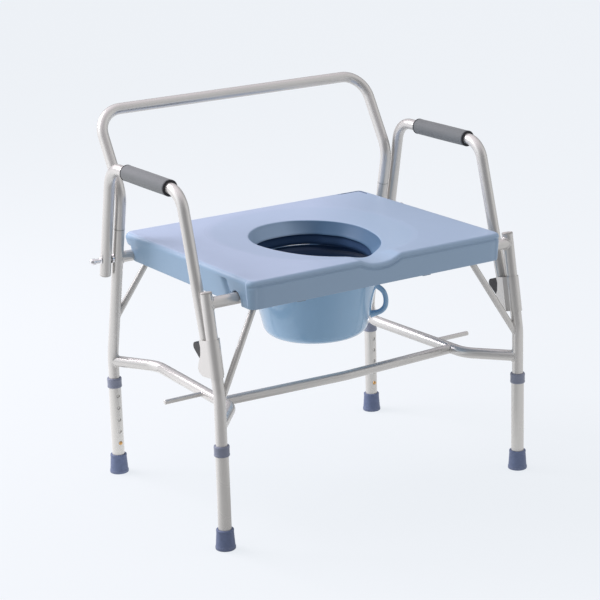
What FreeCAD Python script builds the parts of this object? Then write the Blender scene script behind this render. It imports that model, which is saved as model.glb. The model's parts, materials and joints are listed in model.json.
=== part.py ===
import FreeCAD, Part
import Sketcher
import math
import os
from FreeCAD import Placement, Rotation, Vector

# Wide bedside commode chair with drop-down arms, height-adjustable legs and a pail.
# Frame: origin on the floor under the middle of the footprint, +Z up, front of the seat
# towards -Y, +X to the right for someone facing the front of the chair.  Millimetres.

os.makedirs("parts", exist_ok=True)
doc = FreeCAD.newDocument("CommodeChair")

# ------------------------------------------------------------------ driving dimensions
DIM = {
    # tube stock
    "tube_od": 22.2, "tube_wall": 1.5, "sleeve_od": 25.4, "sleeve_bore": 22.36,
    # legs: upright from the foot, one bend, then leaning in to the top
    "front_leg_x": 347.0, "front_leg_y": -239.5, "front_bend_z": 295.0,
    "front_top_y": -206.0, "front_top_z": 486.0, "leg_foot_z": 12.0,
    "rear_leg_x": 317.0, "rear_leg_y": 237.0, "rear_bend_z": 252.5,
    "rear_top_y": 179.0, "rear_top_z": 528.0, "leg_bend_rad": 120.0,
    # arms and their pivot, which is also the axis of the rear seat tube
    "arm_x": 343.5, "pivot_y": 192.05, "pivot_z": 466.0, "arm_height": 660.0,
    "arm_corner_y": -121.0, "arm_end_y": -205.0, "arm_end_z": 350.0, "arm_bend_rad": 47.0,
    "arm_tail_z": 435.0,
    # backrest
    "knee_y": 163.7, "knee_z": 600.6, "top_bar_y": 250.9, "top_bar_z": 750.2,
    "insert_od": 19.0, "insert_len": 48.0,
    # braces, lower bars and seat tubes
    "brace_od": 12.7, "brace_wall": 1.2, "stop_od": 9.5, "stop_y": -55.0,
    "crossbar_od": 19.0, "low_z": 240.0, "front_tube_y": -209.2, "front_tube_z": 468.0,
    # leg extensions
    "sleeve_len": 192.0, "sleeve_base": 6.0, "hole_pitch": 25.4, "hole_low": 65.7,
    "hole_dia": 8.2, "collar_od": 29.7, "collar_low": 184.5, "collar_top": 204.5,
    "foot_dia": 38.6, "foot_tall": 40.0, "button_dia": 7.8,
    # seat
    "seat_width": 570.0, "seat_front": -262.0, "seat_back": 218.0, "seat_top": 510.0,
    "seat_skirt": 455.0, "seat_wall": 4.0, "seat_corner": 14.0, "seat_draft_deg": 4.16,
    # pail and its rails
    "pail_y": -32.7, "pail_rim_dia": 292.0, "pail_rim_z": 450.0, "pail_wall": 2.8,
    "rail_dia": 8.0, "rail_x": 137.5, "rail_post_x": 152.0, "rail_z": 440.0,
    # hardware
    "bolt_dia": 8.0, "pin_dia": 5.0, "grip_dia": 32.0, "clip_width": 26.0, "screw_dia": 4.0,
}
sheet = doc.addObject("Spreadsheet::Sheet", "Dims")
for row, (alias, value) in enumerate(DIM.items(), start=1):
    sheet.set("A%d" % row, alias)
    sheet.set("B%d" % row, "%g" % value)
    sheet.setAlias("B%d" % row, alias)
doc.recompute()

X_AXIS = Vector(1, 0, 0)
Z_AXIS = Vector(0, 0, 1)
SIDES = (("left", -1), ("right", 1))
ENDS = ("front", "rear")
TUBE_R = DIM["tube_od"] / 2
BORE_R = TUBE_R - DIM["tube_wall"]
COPE_GAP = 0.01                 # clearance all round where one tube is coped to another

LEG_X = {end: DIM[end + "_leg_x"] for end in ENDS}
LEG_Y = {end: DIM[end + "_leg_y"] for end in ENDS}
LEG_BEND = {end: (LEG_Y[end], DIM[end + "_bend_z"]) for end in ENDS}             # (y, z)
LEG_TOP = {end: (DIM[end + "_top_y"], DIM[end + "_top_z"]) for end in ENDS}      # (y, z)
HOLE_FACE = {"front": 1, "rear": -1}     # way the snap button faces, along Y
PIVOT_Y, PIVOT_Z = DIM["pivot_y"], DIM["pivot_z"]
SEAT_TUBE = {"front": (DIM["front_tube_y"], DIM["front_tube_z"]),                # (y, z)
             "rear": (PIVOT_Y, PIVOT_Z)}

finished = []                   # every finished piece, in order


def keep(piece, label=None):
    """Add a piece to those exported, relabelled if a label is given."""
    if label:
        piece.Label = label
    finished.append(piece)


# ------------------------------------------------------------------ directions and paths
def direction(start, end):
    way = Vector(*end) - Vector(*start)
    way.normalize()
    return way


def place_along(position, way):
    """Placement that carries local +Z onto a direction."""
    return Placement(Vector(*position), Rotation(Z_AXIS, Vector(*way)))


def raised(z):
    return Placement(Vector(0, 0, z), Rotation())


def filleted(corners, radii):
    """Line segments and tangent arcs through corner points, one radius per inner corner."""
    curves = []
    start = corners[0]
    for before, corner, after, radius in zip(corners, corners[1:], corners[2:], radii):
        back = before - corner
        back.normalize()
        onward = after - corner
        onward.normalize()
        half_angle = math.acos(back.dot(onward)) / 2.0
        setback = radius / math.tan(half_angle)
        bisector = back + onward
        bisector.normalize()
        centre = corner + bisector * (radius / math.sin(half_angle))
        arc_start = corner + back * setback
        arc_end = corner + onward * setback
        curves.append(Part.LineSegment(start, arc_start))
        curves.append(Part.Arc(arc_start, centre - bisector * radius, arc_end))
        start = arc_end
    curves.append(Part.LineSegment(start, corners[-1]))
    return curves


# ------------------------------------------------------------------ sketches
def new_body(tag):
    return doc.addObject("PartDesign::Body", tag)


def new_sketch(body, tag, role, offset=None):
    """Sketch on one of the body's origin planes."""
    plane = next(feature for feature in body.Origin.OriginFeatures if feature.Role == role)
    sketch = body.newObject("Sketcher::SketchObject", tag)
    sketch.AttachmentSupport = [(plane, "")]
    sketch.MapMode = "FlatFace"
    if offset is not None:
        sketch.AttachmentOffset = offset
    return sketch


def bind_constraint(sketch, constraint, expression):
    index = sketch.addConstraint(constraint)
    sketch.setExpression("Constraints[%d]" % index, expression)


def ring_section(sketch, rings):
    """Circles about the sketch's origin, given as (radius, expression)."""
    for i, (radius, expression) in enumerate(rings):
        sketch.addGeometry(Part.Circle(Vector(0, 0, 0), Z_AXIS, radius), False)
        if i:
            sketch.addConstraint(Sketcher.Constraint("Coincident", i, 3, 0, 3))
        bind_constraint(sketch, Sketcher.Constraint("Radius", i, radius), expression)


def closed_loop(sketch, curves):
    """Draw curves as the sketch's first geometry, joined end to start."""
    sketch.addGeometry(curves, False)
    count = len(curves)
    for i in range(count):
        sketch.addConstraint(Sketcher.Constraint("Coincident", i, 2, (i + 1) % count, 1))


def polygon(sketch, points):
    corners = [Vector(x, y, 0) for x, y in points]
    closed_loop(sketch, [Part.LineSegment(corner, following)
                         for corner, following in zip(corners, corners[1:] + corners[:1])])


def rounded_rect(sketch, x0, y0, x1, y1, radius):
    """Rectangle with rounded corners, counter-clockwise from the lower right corner."""
    arcs = []
    for x, y, start_deg in ((x1 - radius, y0 + radius, -90), (x1 - radius, y1 - radius, 0),
                            (x0 + radius, y1 - radius, 90), (x0 + radius, y0 + radius, 180)):
        angles = [math.radians(start_deg + step) for step in (0, 45, 90)]
        arcs.append([Vector(x + radius * math.cos(angle), y + radius * math.sin(angle), 0)
                     for angle in angles])
    curves = []
    for i, (start, middle, end) in enumerate(arcs):
        curves.append(Part.Arc(start, middle, end))
        curves.append(Part.LineSegment(end, arcs[(i + 1) % 4][0]))
    closed_loop(sketch, curves)


def spline_loop(sketch, points):
    spline = Part.BSplineCurve()
    spline.interpolate(points, PeriodicFlag=True)
    sketch.addGeometry(spline, False)


# ------------------------------------------------------------------ solids in a body
def add_pad(body, tag, profile, length, expression=None):
    doc.recompute()
    pad = body.newObject("PartDesign::Pad", tag)
    pad.Profile = profile
    pad.Length = length
    if expression:
        pad.setExpression("Length", expression)
    body.Tip = pad
    doc.recompute()
    return pad


def add_pocket(body, tag, profile, depth):
    """Pocket that cuts along the sketch's normal."""
    doc.recompute()
    pocket = body.newObject("PartDesign::Pocket", tag)
    pocket.Profile = profile
    pocket.Type = "Length"
    pocket.Length = depth
    pocket.Reversed = True
    body.Tip = pocket
    doc.recompute()
    return pocket


def bent_tube(tag, role, points, radii, od="tube_od", wall="tube_wall"):
    """Round tube along a path in the YZ or XY plane, sized by the aliases od and wall.
    Without a wall it is a solid bar, fatter than od by the coping gap."""
    def in_space(point):
        return Vector(0, point.x, point.y) if role == "YZ_Plane" else point

    body = new_body(tag)
    corners = [Vector(x, y, 0) for x, y in points]
    curves = filleted(corners, radii)
    path = new_sketch(body, tag + "_path", role)
    path.addGeometry(curves, False)
    way = corners[1] - corners[0]
    way.normalize()
    section = new_sketch(body, tag + "_section", "XY_Plane",
                         place_along(in_space(corners[0]), in_space(way)))
    radius = DIM[od] / 2
    if wall:
        rings = [(radius, "Dims.%s/2" % od),
                 (radius - DIM[wall], "Dims.%s/2-Dims.%s" % (od, wall))]
    else:
        rings = [(radius + COPE_GAP, "Dims.%s/2+%g" % (od, COPE_GAP))]
    ring_section(section, rings)
    doc.recompute()
    pipe = body.newObject("PartDesign::AdditivePipe", tag + "_pipe")
    pipe.Profile = section
    pipe.Spine = (path, ["Edge%d" % (i + 1) for i in range(len(curves))])
    pipe.Mode = "Standard"
    body.Tip = pipe
    doc.recompute()
    return body


def lathe(tag, outline, bindings=()):
    """Turned piece: closed outline of (radius, height) points about +Z.
    bindings: (point index, 'r' or 'z', expression)."""
    body = new_body(tag)
    sketch = new_sketch(body, tag + "_outline", "XZ_Plane")
    polygon(sketch, outline)
    for index, axis, expression in bindings:
        kind = "DistanceX" if axis == "r" else "DistanceY"
        value = outline[index][0 if axis == "r" else 1]
        bind_constraint(sketch, Sketcher.Constraint(kind, -1, 1, index, 1, value), expression)
    doc.recompute()
    turned = body.newObject("PartDesign::Revolution", tag + "_turn")
    turned.Profile = sketch
    turned.ReferenceAxis = (sketch, ["V_Axis"])
    turned.Angle = 360.0
    body.Tip = turned
    doc.recompute()
    return body


# ------------------------------------------------------------------ plain solids and booleans
def cylinder(tag, radius, height, start, way, expression=None):
    solid = doc.addObject("Part::Cylinder", tag)
    solid.Radius = radius
    solid.Height = height
    solid.Placement = place_along(start, way)
    if expression:
        solid.setExpression("Radius", expression)
    return solid


def round_bar(tag, diameter, height, start, way, extra=0):
    """Cylinder bound to a diameter's alias, with extra added to its radius."""
    expression = "Dims.%s/2" % diameter
    if extra:
        expression += "%+g" % extra
    return cylinder(tag, DIM[diameter] / 2 + extra, height, start, way, expression)


def box(tag, low, high):
    solid = doc.addObject("Part::Box", tag)
    solid.Length, solid.Width, solid.Height = [b - a for a, b in zip(low, high)]
    solid.Placement = Placement(Vector(*low), Rotation())
    return solid


def cut(tag, base, *tools):
    """Cut the tools from the base one at a time."""
    result = base
    for i, tool in enumerate(tools):
        is_last = i == len(tools) - 1
        step = doc.addObject("Part::Cut", tag if is_last else "%s_cut%d" % (tag, i))
        step.Base = result
        step.Tool = tool
        step.Refine = True
        result = step
    doc.recompute()
    return result


def fuse(tag, *solids):
    union = doc.addObject("Part::MultiFuse", tag)
    union.Shapes = list(solids)
    union.Refine = True
    doc.recompute()
    return union


def keep_group(tag, solids):
    """Keep several loose pieces that share one file."""
    compound = doc.addObject("Part::Compound", tag)
    compound.Links = solids
    doc.recompute()
    keep(compound)


def rod_between(tag, start, end, od, wall):
    """Straight round tube between two points, sized by the aliases od and wall."""
    length = (Vector(*end) - Vector(*start)).Length
    way = direction(start, end)
    outer = round_bar(tag + "_outer", od, length, start, way)
    bore = cylinder(tag + "_bore", DIM[od] / 2 - DIM[wall], length + 2, Vector(*start) - way, way,
                    "Dims.%s/2-Dims.%s" % (od, wall))
    return cut(tag + "_tube", outer, bore)


# ------------------------------------------------------------------ legs
BUTTON_CLEARANCE = 0.08


def leg_bar(tag, side, end, wall):
    path = [(LEG_Y[end], DIM["leg_foot_z"]), LEG_BEND[end], LEG_TOP[end]]
    body = bent_tube(tag, "YZ_Plane", path, [DIM["leg_bend_rad"]], wall=wall)
    body.setExpression("Placement.Base.x", "%d*Dims.%s_leg_x" % (side, end))
    return body


leg_forms = {}


def leg_form(side, end):
    """Solid copy of a leg, used to cope everything welded to it."""
    if (side, end) not in leg_forms:
        tag = "%s_%s_leg_form" % ("left" if side < 0 else "right", end)
        leg_forms[side, end] = leg_bar(tag, side, end, None)
        doc.recompute()
    return leg_forms[side, end]


def leg_upper_way(end):
    """Direction of the leg's straight run above its bend."""
    return direction((0,) + LEG_BEND[end], (0,) + LEG_TOP[end])


def make_leg(name, side, end):
    tag = "%s_%s_leg" % (name, end)
    x, face = side * LEG_X[end], HOLE_FACE[end]
    body = leg_bar(tag + "_body", side, end, "tube_wall")
    drills = [round_bar(tag + "_button_drill", "button_dia", 14,
                        (x, LEG_Y[end] + face * 4, DIM["hole_low"]), (0, face, 0),
                        BUTTON_CLEARANCE)]
    if end == "rear":
        drills.append(round_bar(tag + "_bolt_drill", "bolt_dia", 30,
                                (x - 15, PIVOT_Y, PIVOT_Z), X_AXIS, 0.05))
    keep(cut(tag, body, *drills))


def make_leg_caps():
    """Flat caps pressed into the tops of the front legs."""
    outline = [(0, -14), (9.3, -14), (9.55, -12), (9.55, 0.02), (TUBE_R, 0.02), (TUBE_R, 2.2),
               (10.2, 3.4), (0, 3.8)]
    caps = []
    for name, side in SIDES:
        cap = lathe(name + "_leg_cap_body", outline, [(4, "r", "Dims.tube_od/2")])
        cap.Placement = place_along((side * LEG_X["front"],) + LEG_TOP["front"],
                                    leg_upper_way("front"))
        caps.append(cap)
    keep_group("front_leg_caps", caps)


for name, side in SIDES:
    for end in ENDS:
        make_leg(name, side, end)
make_leg_caps()

# ------------------------------------------------------------------ seat cross tubes and braces
TRIM_Y = {"front": (-260, -160), "rear": (150, 240)}     # extent of the blocks trimming the ends
TRIM_Z = (420, 520)
# lower end on the leg and upper end on the seat tube, (x, y, z) for the right side
BRACE_ENDS = {
    "front": ((LEG_X["front"], LEG_Y["front"], 281.0), (238.5,) + SEAT_TUBE["front"]),
    "rear": ((LEG_X["rear"], 221.1, 328.0), (238.0,) + SEAT_TUBE["rear"]),
}


def seat_tube_cutter(tag, end):
    return round_bar(tag, "tube_od", 700, (-350,) + SEAT_TUBE[end], X_AXIS, COPE_GAP)


def make_seat_tube(end):
    tag = end + "_seat_tube"
    x = LEG_X[end]
    tube = rod_between(tag + "_raw", (-x,) + SEAT_TUBE[end], (x,) + SEAT_TUBE[end],
                       "tube_od", "tube_wall")
    forms = [leg_form(side, end) for _, side in SIDES]
    trims = [box("%sst_trim_%s" % (end[0], letter), (x0, TRIM_Y[end][0], TRIM_Z[0]),
                 (x0 + 30, TRIM_Y[end][1], TRIM_Z[1]))
             for letter, x0 in (("l", -x - 30), ("r", x))]
    keep(cut(tag, tube, *forms, *trims))


def make_brace(name, side, end):
    tag = "%s_%s_brace" % (name, end)
    low, high = [(side * x, y, z) for x, y, z in BRACE_ENDS[end]]
    raw = rod_between(tag + "_raw", low, high, "brace_od", "brace_wall")
    keep(cut(tag, raw, leg_form(side, end), seat_tube_cutter(tag + "_k3", end)))


for end in ENDS:
    make_seat_tube(end)
for name, side in SIDES:
    for end in ENDS:
        make_brace(name, side, end)

# ------------------------------------------------------------------ lower bars and stop rods
LOW_Z = DIM["low_z"]
BAR_REAR = (262.0, 148.0)       # corners of the right side bar, (x, y)
BAR_FRONT = (275.0, -156.0)
BAR_BENDS = [70.0, 60.0]
CROSS_END_Y, CROSS_MID_Y, CROSS_BEND = -118.0, -132.0, 160.0
STOP_START_X, STOP_INNER_X, STOP_LEN = 265.0, 268.0, 97.0
STOP_ROUND = 1.6


def make_side_bar(name, side):
    tag = name + "_side_bar"
    corners = [(LEG_X["rear"], LEG_Y["rear"]), BAR_REAR, BAR_FRONT,
               (LEG_X["front"], LEG_Y["front"])]
    body = bent_tube(tag + "_body", "XY_Plane", [(side * x, y) for x, y in corners], BAR_BENDS)
    body.setExpression("Placement.Base.z", "Dims.low_z")
    keep(cut(tag, body, leg_form(side, "rear"), leg_form(side, "front")))


def side_bar_cutter(tag, side):
    """Fat copy of the side bar's straight middle run."""
    rear = Vector(side * BAR_REAR[0], BAR_REAR[1], LOW_Z)
    way = Vector(side * BAR_FRONT[0], BAR_FRONT[1], LOW_Z) - rear
    length = way.Length
    way.normalize()
    return round_bar(tag, "tube_od", length, rear, way, COPE_GAP)


def make_crossbar():
    """Bar between the side bars, bowed towards the front."""
    end_x = (BAR_REAR[0] + (BAR_FRONT[0] - BAR_REAR[0]) * (BAR_REAR[1] - CROSS_END_Y)
             / (BAR_REAR[1] - BAR_FRONT[1]))
    body = bent_tube("lower_crossbar_body", "XY_Plane",
                     [(-end_x, CROSS_END_Y), (0.0, CROSS_MID_Y), (end_x, CROSS_END_Y)],
                     [CROSS_BEND], od="crossbar_od")
    body.setExpression("Placement.Base.z", "Dims.low_z")
    keep(cut("lower_crossbar", body, side_bar_cutter("lc_k1", -1), side_bar_cutter("lc_k2", 1)))


def make_stop_rod(name, side):
    """Rod standing outwards from the side bar, with a rounded free end."""
    tag = name + "_stop_rod"
    y = DIM["stop_y"]
    raw = round_bar(tag + "_raw", "stop_od", STOP_LEN, (side * STOP_START_X, y, LOW_Z),
                    (side, 0, 0))
    x0, x1 = sorted((side * 240, side * STOP_INNER_X))
    rod = cut(tag + "_coped", raw, side_bar_cutter(tag + "_k", side),
              box(tag + "_trim", (x0, y - 20, LOW_Z - 20), (x1, y + 20, LOW_Z + 20)))
    end_x = side * (STOP_START_X + STOP_LEN)
    edges = []
    for i, edge in enumerate(rod.Shape.Edges, start=1):
        bounds = edge.BoundBox
        at_end = abs(bounds.XMin - end_x) < 0.01 and abs(bounds.XMax - end_x) < 0.01
        if at_end and bounds.YLength > 1:
            edges.append((i, STOP_ROUND, STOP_ROUND))
    rounded = doc.addObject("Part::Fillet", tag)
    rounded.Base = rod
    rounded.Edges = edges
    doc.recompute()
    keep(rounded)


for name, side in SIDES:
    make_side_bar(name, side)
make_crossbar()
for name, side in SIDES:
    make_stop_rod(name, side)

# ------------------------------------------------------------------ latch brackets on the front legs
# Folded sheet: wraps the front of the leg and runs back as two cheeks beside the arm post.
LEG_LEAN = math.atan2(LEG_TOP["front"][0] - LEG_BEND["front"][0],
                      LEG_TOP["front"][1] - LEG_BEND["front"][1])
LATCH_Z = 368.0                 # height of the bracket's origin on the leg axis
LATCH_Y = LEG_BEND["front"][0] + (LATCH_Z - LEG_BEND["front"][1]) * math.tan(LEG_LEAN)
SHEET = 2.0
WRAP_IN = TUBE_R + 0.02         # inner and outer radius of the wrap
WRAP_OUT = WRAP_IN + SHEET
CHEEK_IN = LEG_X["front"] - 329.5    # inboard cheek's two faces, from the leg axis
CHEEK_OUT = CHEEK_IN + SHEET
CHEEK_END, STEP_Y = 46, 7.0     # rear end of both cheeks; where the inboard one is stepped
SHEET_BASE, SHEET_TALL = -36, 71.0
# rear edge of the cheeks in the chair's frame, (y, z), from the top down
CHEEK_EDGE = [
    (-193.0, 404.5), (-195.0, 396.0), (-199.0, 385.0), (-198.0, 370.0), (-190.0, 352.0),
    (-187.5, 342.0), (-191.0, 335.5), (-203.0, 331.0), (-214.0, 331.5), (-236.0, 335.0),
]


def make_latch_bracket(name, side):
    tag = name + "_latch_bracket"
    body = new_body(tag + "_body")
    fold = new_sketch(body, tag + "_fold", "XY_Plane", raised(SHEET_BASE))

    def at(inboard, y):
        return Vector(-side * inboard, y, 0)

    # outer face from the inboard cheek round the leg, then back along the inner face
    fold.addGeometry([
        Part.LineSegment(at(CHEEK_OUT, CHEEK_END), at(CHEEK_OUT, STEP_Y - 1.0)),
        Part.LineSegment(at(CHEEK_OUT, STEP_Y - 1.0), at(WRAP_OUT, 0)),
        Part.Arc(at(WRAP_OUT, 0), at(0, -WRAP_OUT), at(-WRAP_OUT, 0)),
        Part.LineSegment(at(-WRAP_OUT, 0), at(-WRAP_OUT, CHEEK_END)),
        Part.LineSegment(at(-WRAP_OUT, CHEEK_END), at(-WRAP_IN, CHEEK_END)),
        Part.LineSegment(at(-WRAP_IN, CHEEK_END), at(-WRAP_IN, 0)),
        Part.Arc(at(-WRAP_IN, 0), at(0, -WRAP_IN), at(WRAP_IN, 0)),
        Part.LineSegment(at(WRAP_IN, 0), at(CHEEK_IN, STEP_Y)),
        Part.LineSegment(at(CHEEK_IN, STEP_Y), at(CHEEK_IN, CHEEK_END)),
        Part.LineSegment(at(CHEEK_IN, CHEEK_END), at(CHEEK_OUT, CHEEK_END)),
    ], False)
    add_pad(body, tag + "_sheet", fold, SHEET_TALL)

    # the cheek edge turned into the leaning frame; everything behind it is trimmed away
    edge = []
    for y, z in CHEEK_EDGE:
        dy, dz = y - LATCH_Y, z - LATCH_Z
        edge.append((dy * math.cos(LEG_LEAN) - dz * math.sin(LEG_LEAN),
                     dy * math.sin(LEG_LEAN) + dz * math.cos(LEG_LEAN)))
    outline = edge + [(edge[-1][0], -60.0), (70.0, -60.0), (70.0, 60.0), (edge[0][0], 60.0)]
    trim_sketch = new_sketch(body, tag + "_edge", "YZ_Plane")
    polygon(trim_sketch, outline)
    doc.recompute()
    trim = body.newObject("PartDesign::Pocket", tag + "_trim")
    trim.Profile = trim_sketch
    trim.Type = "ThroughAll"
    trim.Midplane = True
    body.Tip = trim
    doc.recompute()
    body.Placement = Placement(Vector(side * LEG_X["front"], LATCH_Y, LATCH_Z),
                               Rotation(X_AXIS, -math.degrees(LEG_LEAN)))
    doc.recompute()
    keep(body, tag)


for name, side in SIDES:
    make_latch_bracket(name, side)


# ------------------------------------------------------------------ pail rails
def make_pail_rail(name, side):
    """Bent wire: straight run, a step outwards at each end, a post up to each seat tube."""
    tag = name + "_pail_rail"
    run_x, post_x, z = side * DIM["rail_x"], side * DIM["rail_post_x"], DIM["rail_z"]
    front_y, rear_y = SEAT_TUBE["front"][0], SEAT_TUBE["rear"][0]
    pieces = [round_bar(tag + "_run", "rail_dia", rear_y - front_y, (run_x, front_y, z),
                        (0, 1, 0))]
    for end in ENDS:
        y, tube_z = SEAT_TUBE[end]
        # the post runs 3 mm into the seat tube, to be coped
        post_len = tube_z - TUBE_R - COPE_GAP - z + 3
        pieces.append(round_bar("%s_%s_step" % (tag, end), "rail_dia", abs(post_x - run_x),
                                (run_x, y, z), (side, 0, 0)))
        pieces.append(round_bar("%s_%s_post" % (tag, end), "rail_dia", post_len,
                                (post_x, y, z), Z_AXIS))
        for i, x in enumerate((run_x, post_x)):
            ball = doc.addObject("Part::Sphere", "%s_%s_bend%d" % (tag, end, i))
            ball.Placement = Placement(Vector(x, y, z), Rotation())
            ball.setExpression("Radius", "Dims.rail_dia/2")
            pieces.append(ball)
    wire = fuse(tag + "_wire", *pieces)
    keep(cut(tag, wire, seat_tube_cutter(tag + "_k1", "front"),
             seat_tube_cutter(tag + "_k2", "rear")))


for name, side in SIDES:
    make_pail_rail(name, side)

# ------------------------------------------------------------------ arm pivots
# Bolt from an insert in the end of the rear seat tube, out through the leg and the arm.
BOLT_R = DIM["bolt_dia"] / 2
THREAD_R = BOLT_R + 0.01
SPACER_BORE_R = BOLT_R + 0.05
ARM_INNER_X = DIM["arm_x"] - TUBE_R
ARM_OUTER_X = DIM["arm_x"] + TUBE_R
LEG_OUTER_X = LEG_X["rear"] + TUBE_R
BOLT_START_X, BOLT_LEN = 289.0, 84.0
INSERT_X, INSERT_LEN, INSERT_R = 289.5, 14.0, BORE_R - 0.01
SPACER_R, SPACER_LEN = 8.5, ARM_INNER_X - LEG_OUTER_X - 0.1
# ring nut with a domed tip, (radius, distance outwards)
NUT_OUTLINE = [
    (THREAD_R, 0), (6.4, 0), (6.6, 0.6), (6.6, 1.4), (5.4, 2.2), (4.9, 3.0), (4.9, 12.0),
    (6.2, 13.0), (6.5, 14.5), (6.5, 18.5), (5.9, 21.0), (4.4, 23.2), (2.2, 24.1), (0, 24.3),
    (0, 19.6), (THREAD_R, 19.6),
]


def make_pivots():
    bolts, nuts, spacers, inserts = [], [], [], []
    for name, side in SIDES:
        def on_pivot(x):
            return place_along((side * x, PIVOT_Y, PIVOT_Z), (side, 0, 0))

        bolts.append(round_bar(name + "_pivot_bolt", "bolt_dia", BOLT_LEN,
                               (side * BOLT_START_X, PIVOT_Y, PIVOT_Z), (side, 0, 0)))
        nut = lathe(name + "_pivot_nut_body", NUT_OUTLINE, [(0, "r", "Dims.bolt_dia/2+0.01")])
        nut.Placement = on_pivot(ARM_OUTER_X + 0.1)
        nuts.append(nut)
        spacer = lathe(name + "_pivot_spacer_body",
                       [(SPACER_BORE_R, 0), (SPACER_R, 0), (SPACER_R, SPACER_LEN),
                        (SPACER_BORE_R, SPACER_LEN)],
                       [(0, "r", "Dims.bolt_dia/2+0.05")])
        spacer.Placement = on_pivot(LEG_OUTER_X + 0.05)
        spacers.append(spacer)
        insert = lathe(name + "_pivot_insert_body",
                       [(THREAD_R, 0), (INSERT_R, 0), (INSERT_R, INSERT_LEN),
                        (THREAD_R, INSERT_LEN)],
                       [(0, "r", "Dims.bolt_dia/2+0.01"),
                        (1, "r", "Dims.tube_od/2-Dims.tube_wall-0.01")])
        insert.Placement = on_pivot(INSERT_X)
        inserts.append(insert)
    keep_group("arm_pivot_bolts", bolts)
    keep_group("arm_pivot_nuts", nuts)
    keep_group("arm_pivot_spacers", spacers)
    keep_group("pivot_inserts", inserts)


make_pivots()

# ------------------------------------------------------------------ arms
# Each arm is a tail rising parallel to the rear leg, a level rest and a post down to the latch.
ARM_Z = DIM["arm_height"]
REAR_SLOPE = ((LEG_TOP["rear"][0] - LEG_BEND["rear"][0])
              / (LEG_TOP["rear"][1] - LEG_BEND["rear"][1]))
ARM_TAIL = (PIVOT_Y + (DIM["arm_tail_z"] - PIVOT_Z) * REAR_SLOPE, DIM["arm_tail_z"])   # (y, z)
ARM_REAR = (PIVOT_Y + (ARM_Z - PIVOT_Z) * REAR_SLOPE, ARM_Z)
ARM_CORNER = (DIM["arm_corner_y"], ARM_Z)
ARM_END = (DIM["arm_end_y"], DIM["arm_end_z"])
TAIL_WAY = direction((0,) + ARM_TAIL, (0,) + ARM_REAR)
POST_WAY = direction((0,) + ARM_END, (0,) + ARM_CORNER)


def post_y(z):
    return ARM_END[0] + (z - ARM_END[1]) * (ARM_CORNER[0] - ARM_END[0]) / (ARM_Z - ARM_END[1])


PIN_Z = 362.0
PIN_Y = post_y(PIN_Z)
GRIP_REAR_Y, GRIP_LEN = 82.0, 164.0
GRIP_R, GRIP_BORE_R, GRIP_END_R = DIM["grip_dia"] / 2, TUBE_R + 0.05, TUBE_R + 2.6
# plug for the tail, (radius, depth into the tube)
TAIL_PLUG = [
    (0, -2.6), (9.6, -2.4), (10.8, -1.6), (TUBE_R, -0.6), (TUBE_R, -0.02), (9.55, -0.02),
    (9.55, 9.0), (9.2, 10.0), (0, 10.0),
]
# the post's plug has a flatter head and a different inner end
POST_PLUG = ([(0, -1.6)] + [(radius, max(z, -1.4)) for radius, z in TAIL_PLUG[1:-2]]
             + [(9.2, 6.0), (0, 6.0)])
LEVER_HALF_WIDTH = 13.5
LEVER_SLOT_R = TUBE_R + 0.9     # half the width of the yoke's opening round the post
SLOT_Z, SLOT_LEN, MOUTH_DEPTH = 345.0, 90, 30
# side outline of the release lever, (y, z)
LEVER_OUTLINE = [
    (-207.0, 358.0), (-203.5, 355.2), (-197.5, 355.8), (-184.0, 365.6), (-170.6, 375.6),
    (-168.6, 378.4), (-168.0, 381.6), (-168.7, 385.0), (-170.8, 387.8), (-174.0, 389.4),
    (-190.0, 390.0), (-200.0, 385.5), (-207.0, 370.0),
]
PIN_LEN = 26.6
COIL_PITCH, COIL_LEN, COIL_R, COIL_WIRE_R = 1.6, 8.0, 3.6, 0.5


def make_arm_tube(name, side):
    tag = name + "_arm_tube"
    x = side * DIM["arm_x"]
    body = bent_tube(tag + "_body", "YZ_Plane", [ARM_TAIL, ARM_REAR, ARM_CORNER, ARM_END],
                     [DIM["arm_bend_rad"], DIM["arm_bend_rad"]])
    body.setExpression("Placement.Base.x", "%d*Dims.arm_x" % side)
    bolt = round_bar(tag + "_bolt_drill", "bolt_dia", 30, (x - 15, PIVOT_Y, PIVOT_Z), X_AXIS, 0.06)
    pin = round_bar(tag + "_pin_drill", "pin_dia", 30, (x - 15, PIN_Y, PIN_Z), X_AXIS, 0.01)
    keep(cut(tag, body, bolt, pin))


def make_arm_grip(name, side):
    tag = name + "_arm_grip"
    grip = lathe(tag + "_body",
                 [(GRIP_BORE_R, 0), (GRIP_END_R, 0), (GRIP_R - 0.9, 0.6), (GRIP_R, 2.6),
                  (GRIP_R, GRIP_LEN - 2.6), (GRIP_R - 0.9, GRIP_LEN - 0.6),
                  (GRIP_END_R, GRIP_LEN), (GRIP_BORE_R, GRIP_LEN)],
                 [(0, "r", "Dims.tube_od/2+0.05"), (3, "r", "Dims.grip_dia/2")])
    grip.Placement = place_along((side * DIM["arm_x"], GRIP_REAR_Y, ARM_Z), (0, -1, 0))
    keep(grip, tag)


def make_arm_plugs(name, side):
    """Plugs in both open ends of the arm tube."""
    plugs = []
    for which, outline, mouth, way in (("tail", TAIL_PLUG, ARM_TAIL, TAIL_WAY),
                                       ("post", POST_PLUG, ARM_END, POST_WAY)):
        plug = lathe("%s_%s_plug_body" % (name, which), outline, [(3, "r", "Dims.tube_od/2")])
        plug.Placement = place_along((side * DIM["arm_x"],) + mouth, way)
        plugs.append(plug)
    keep_group(name + "_arm_plugs", plugs)


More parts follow.
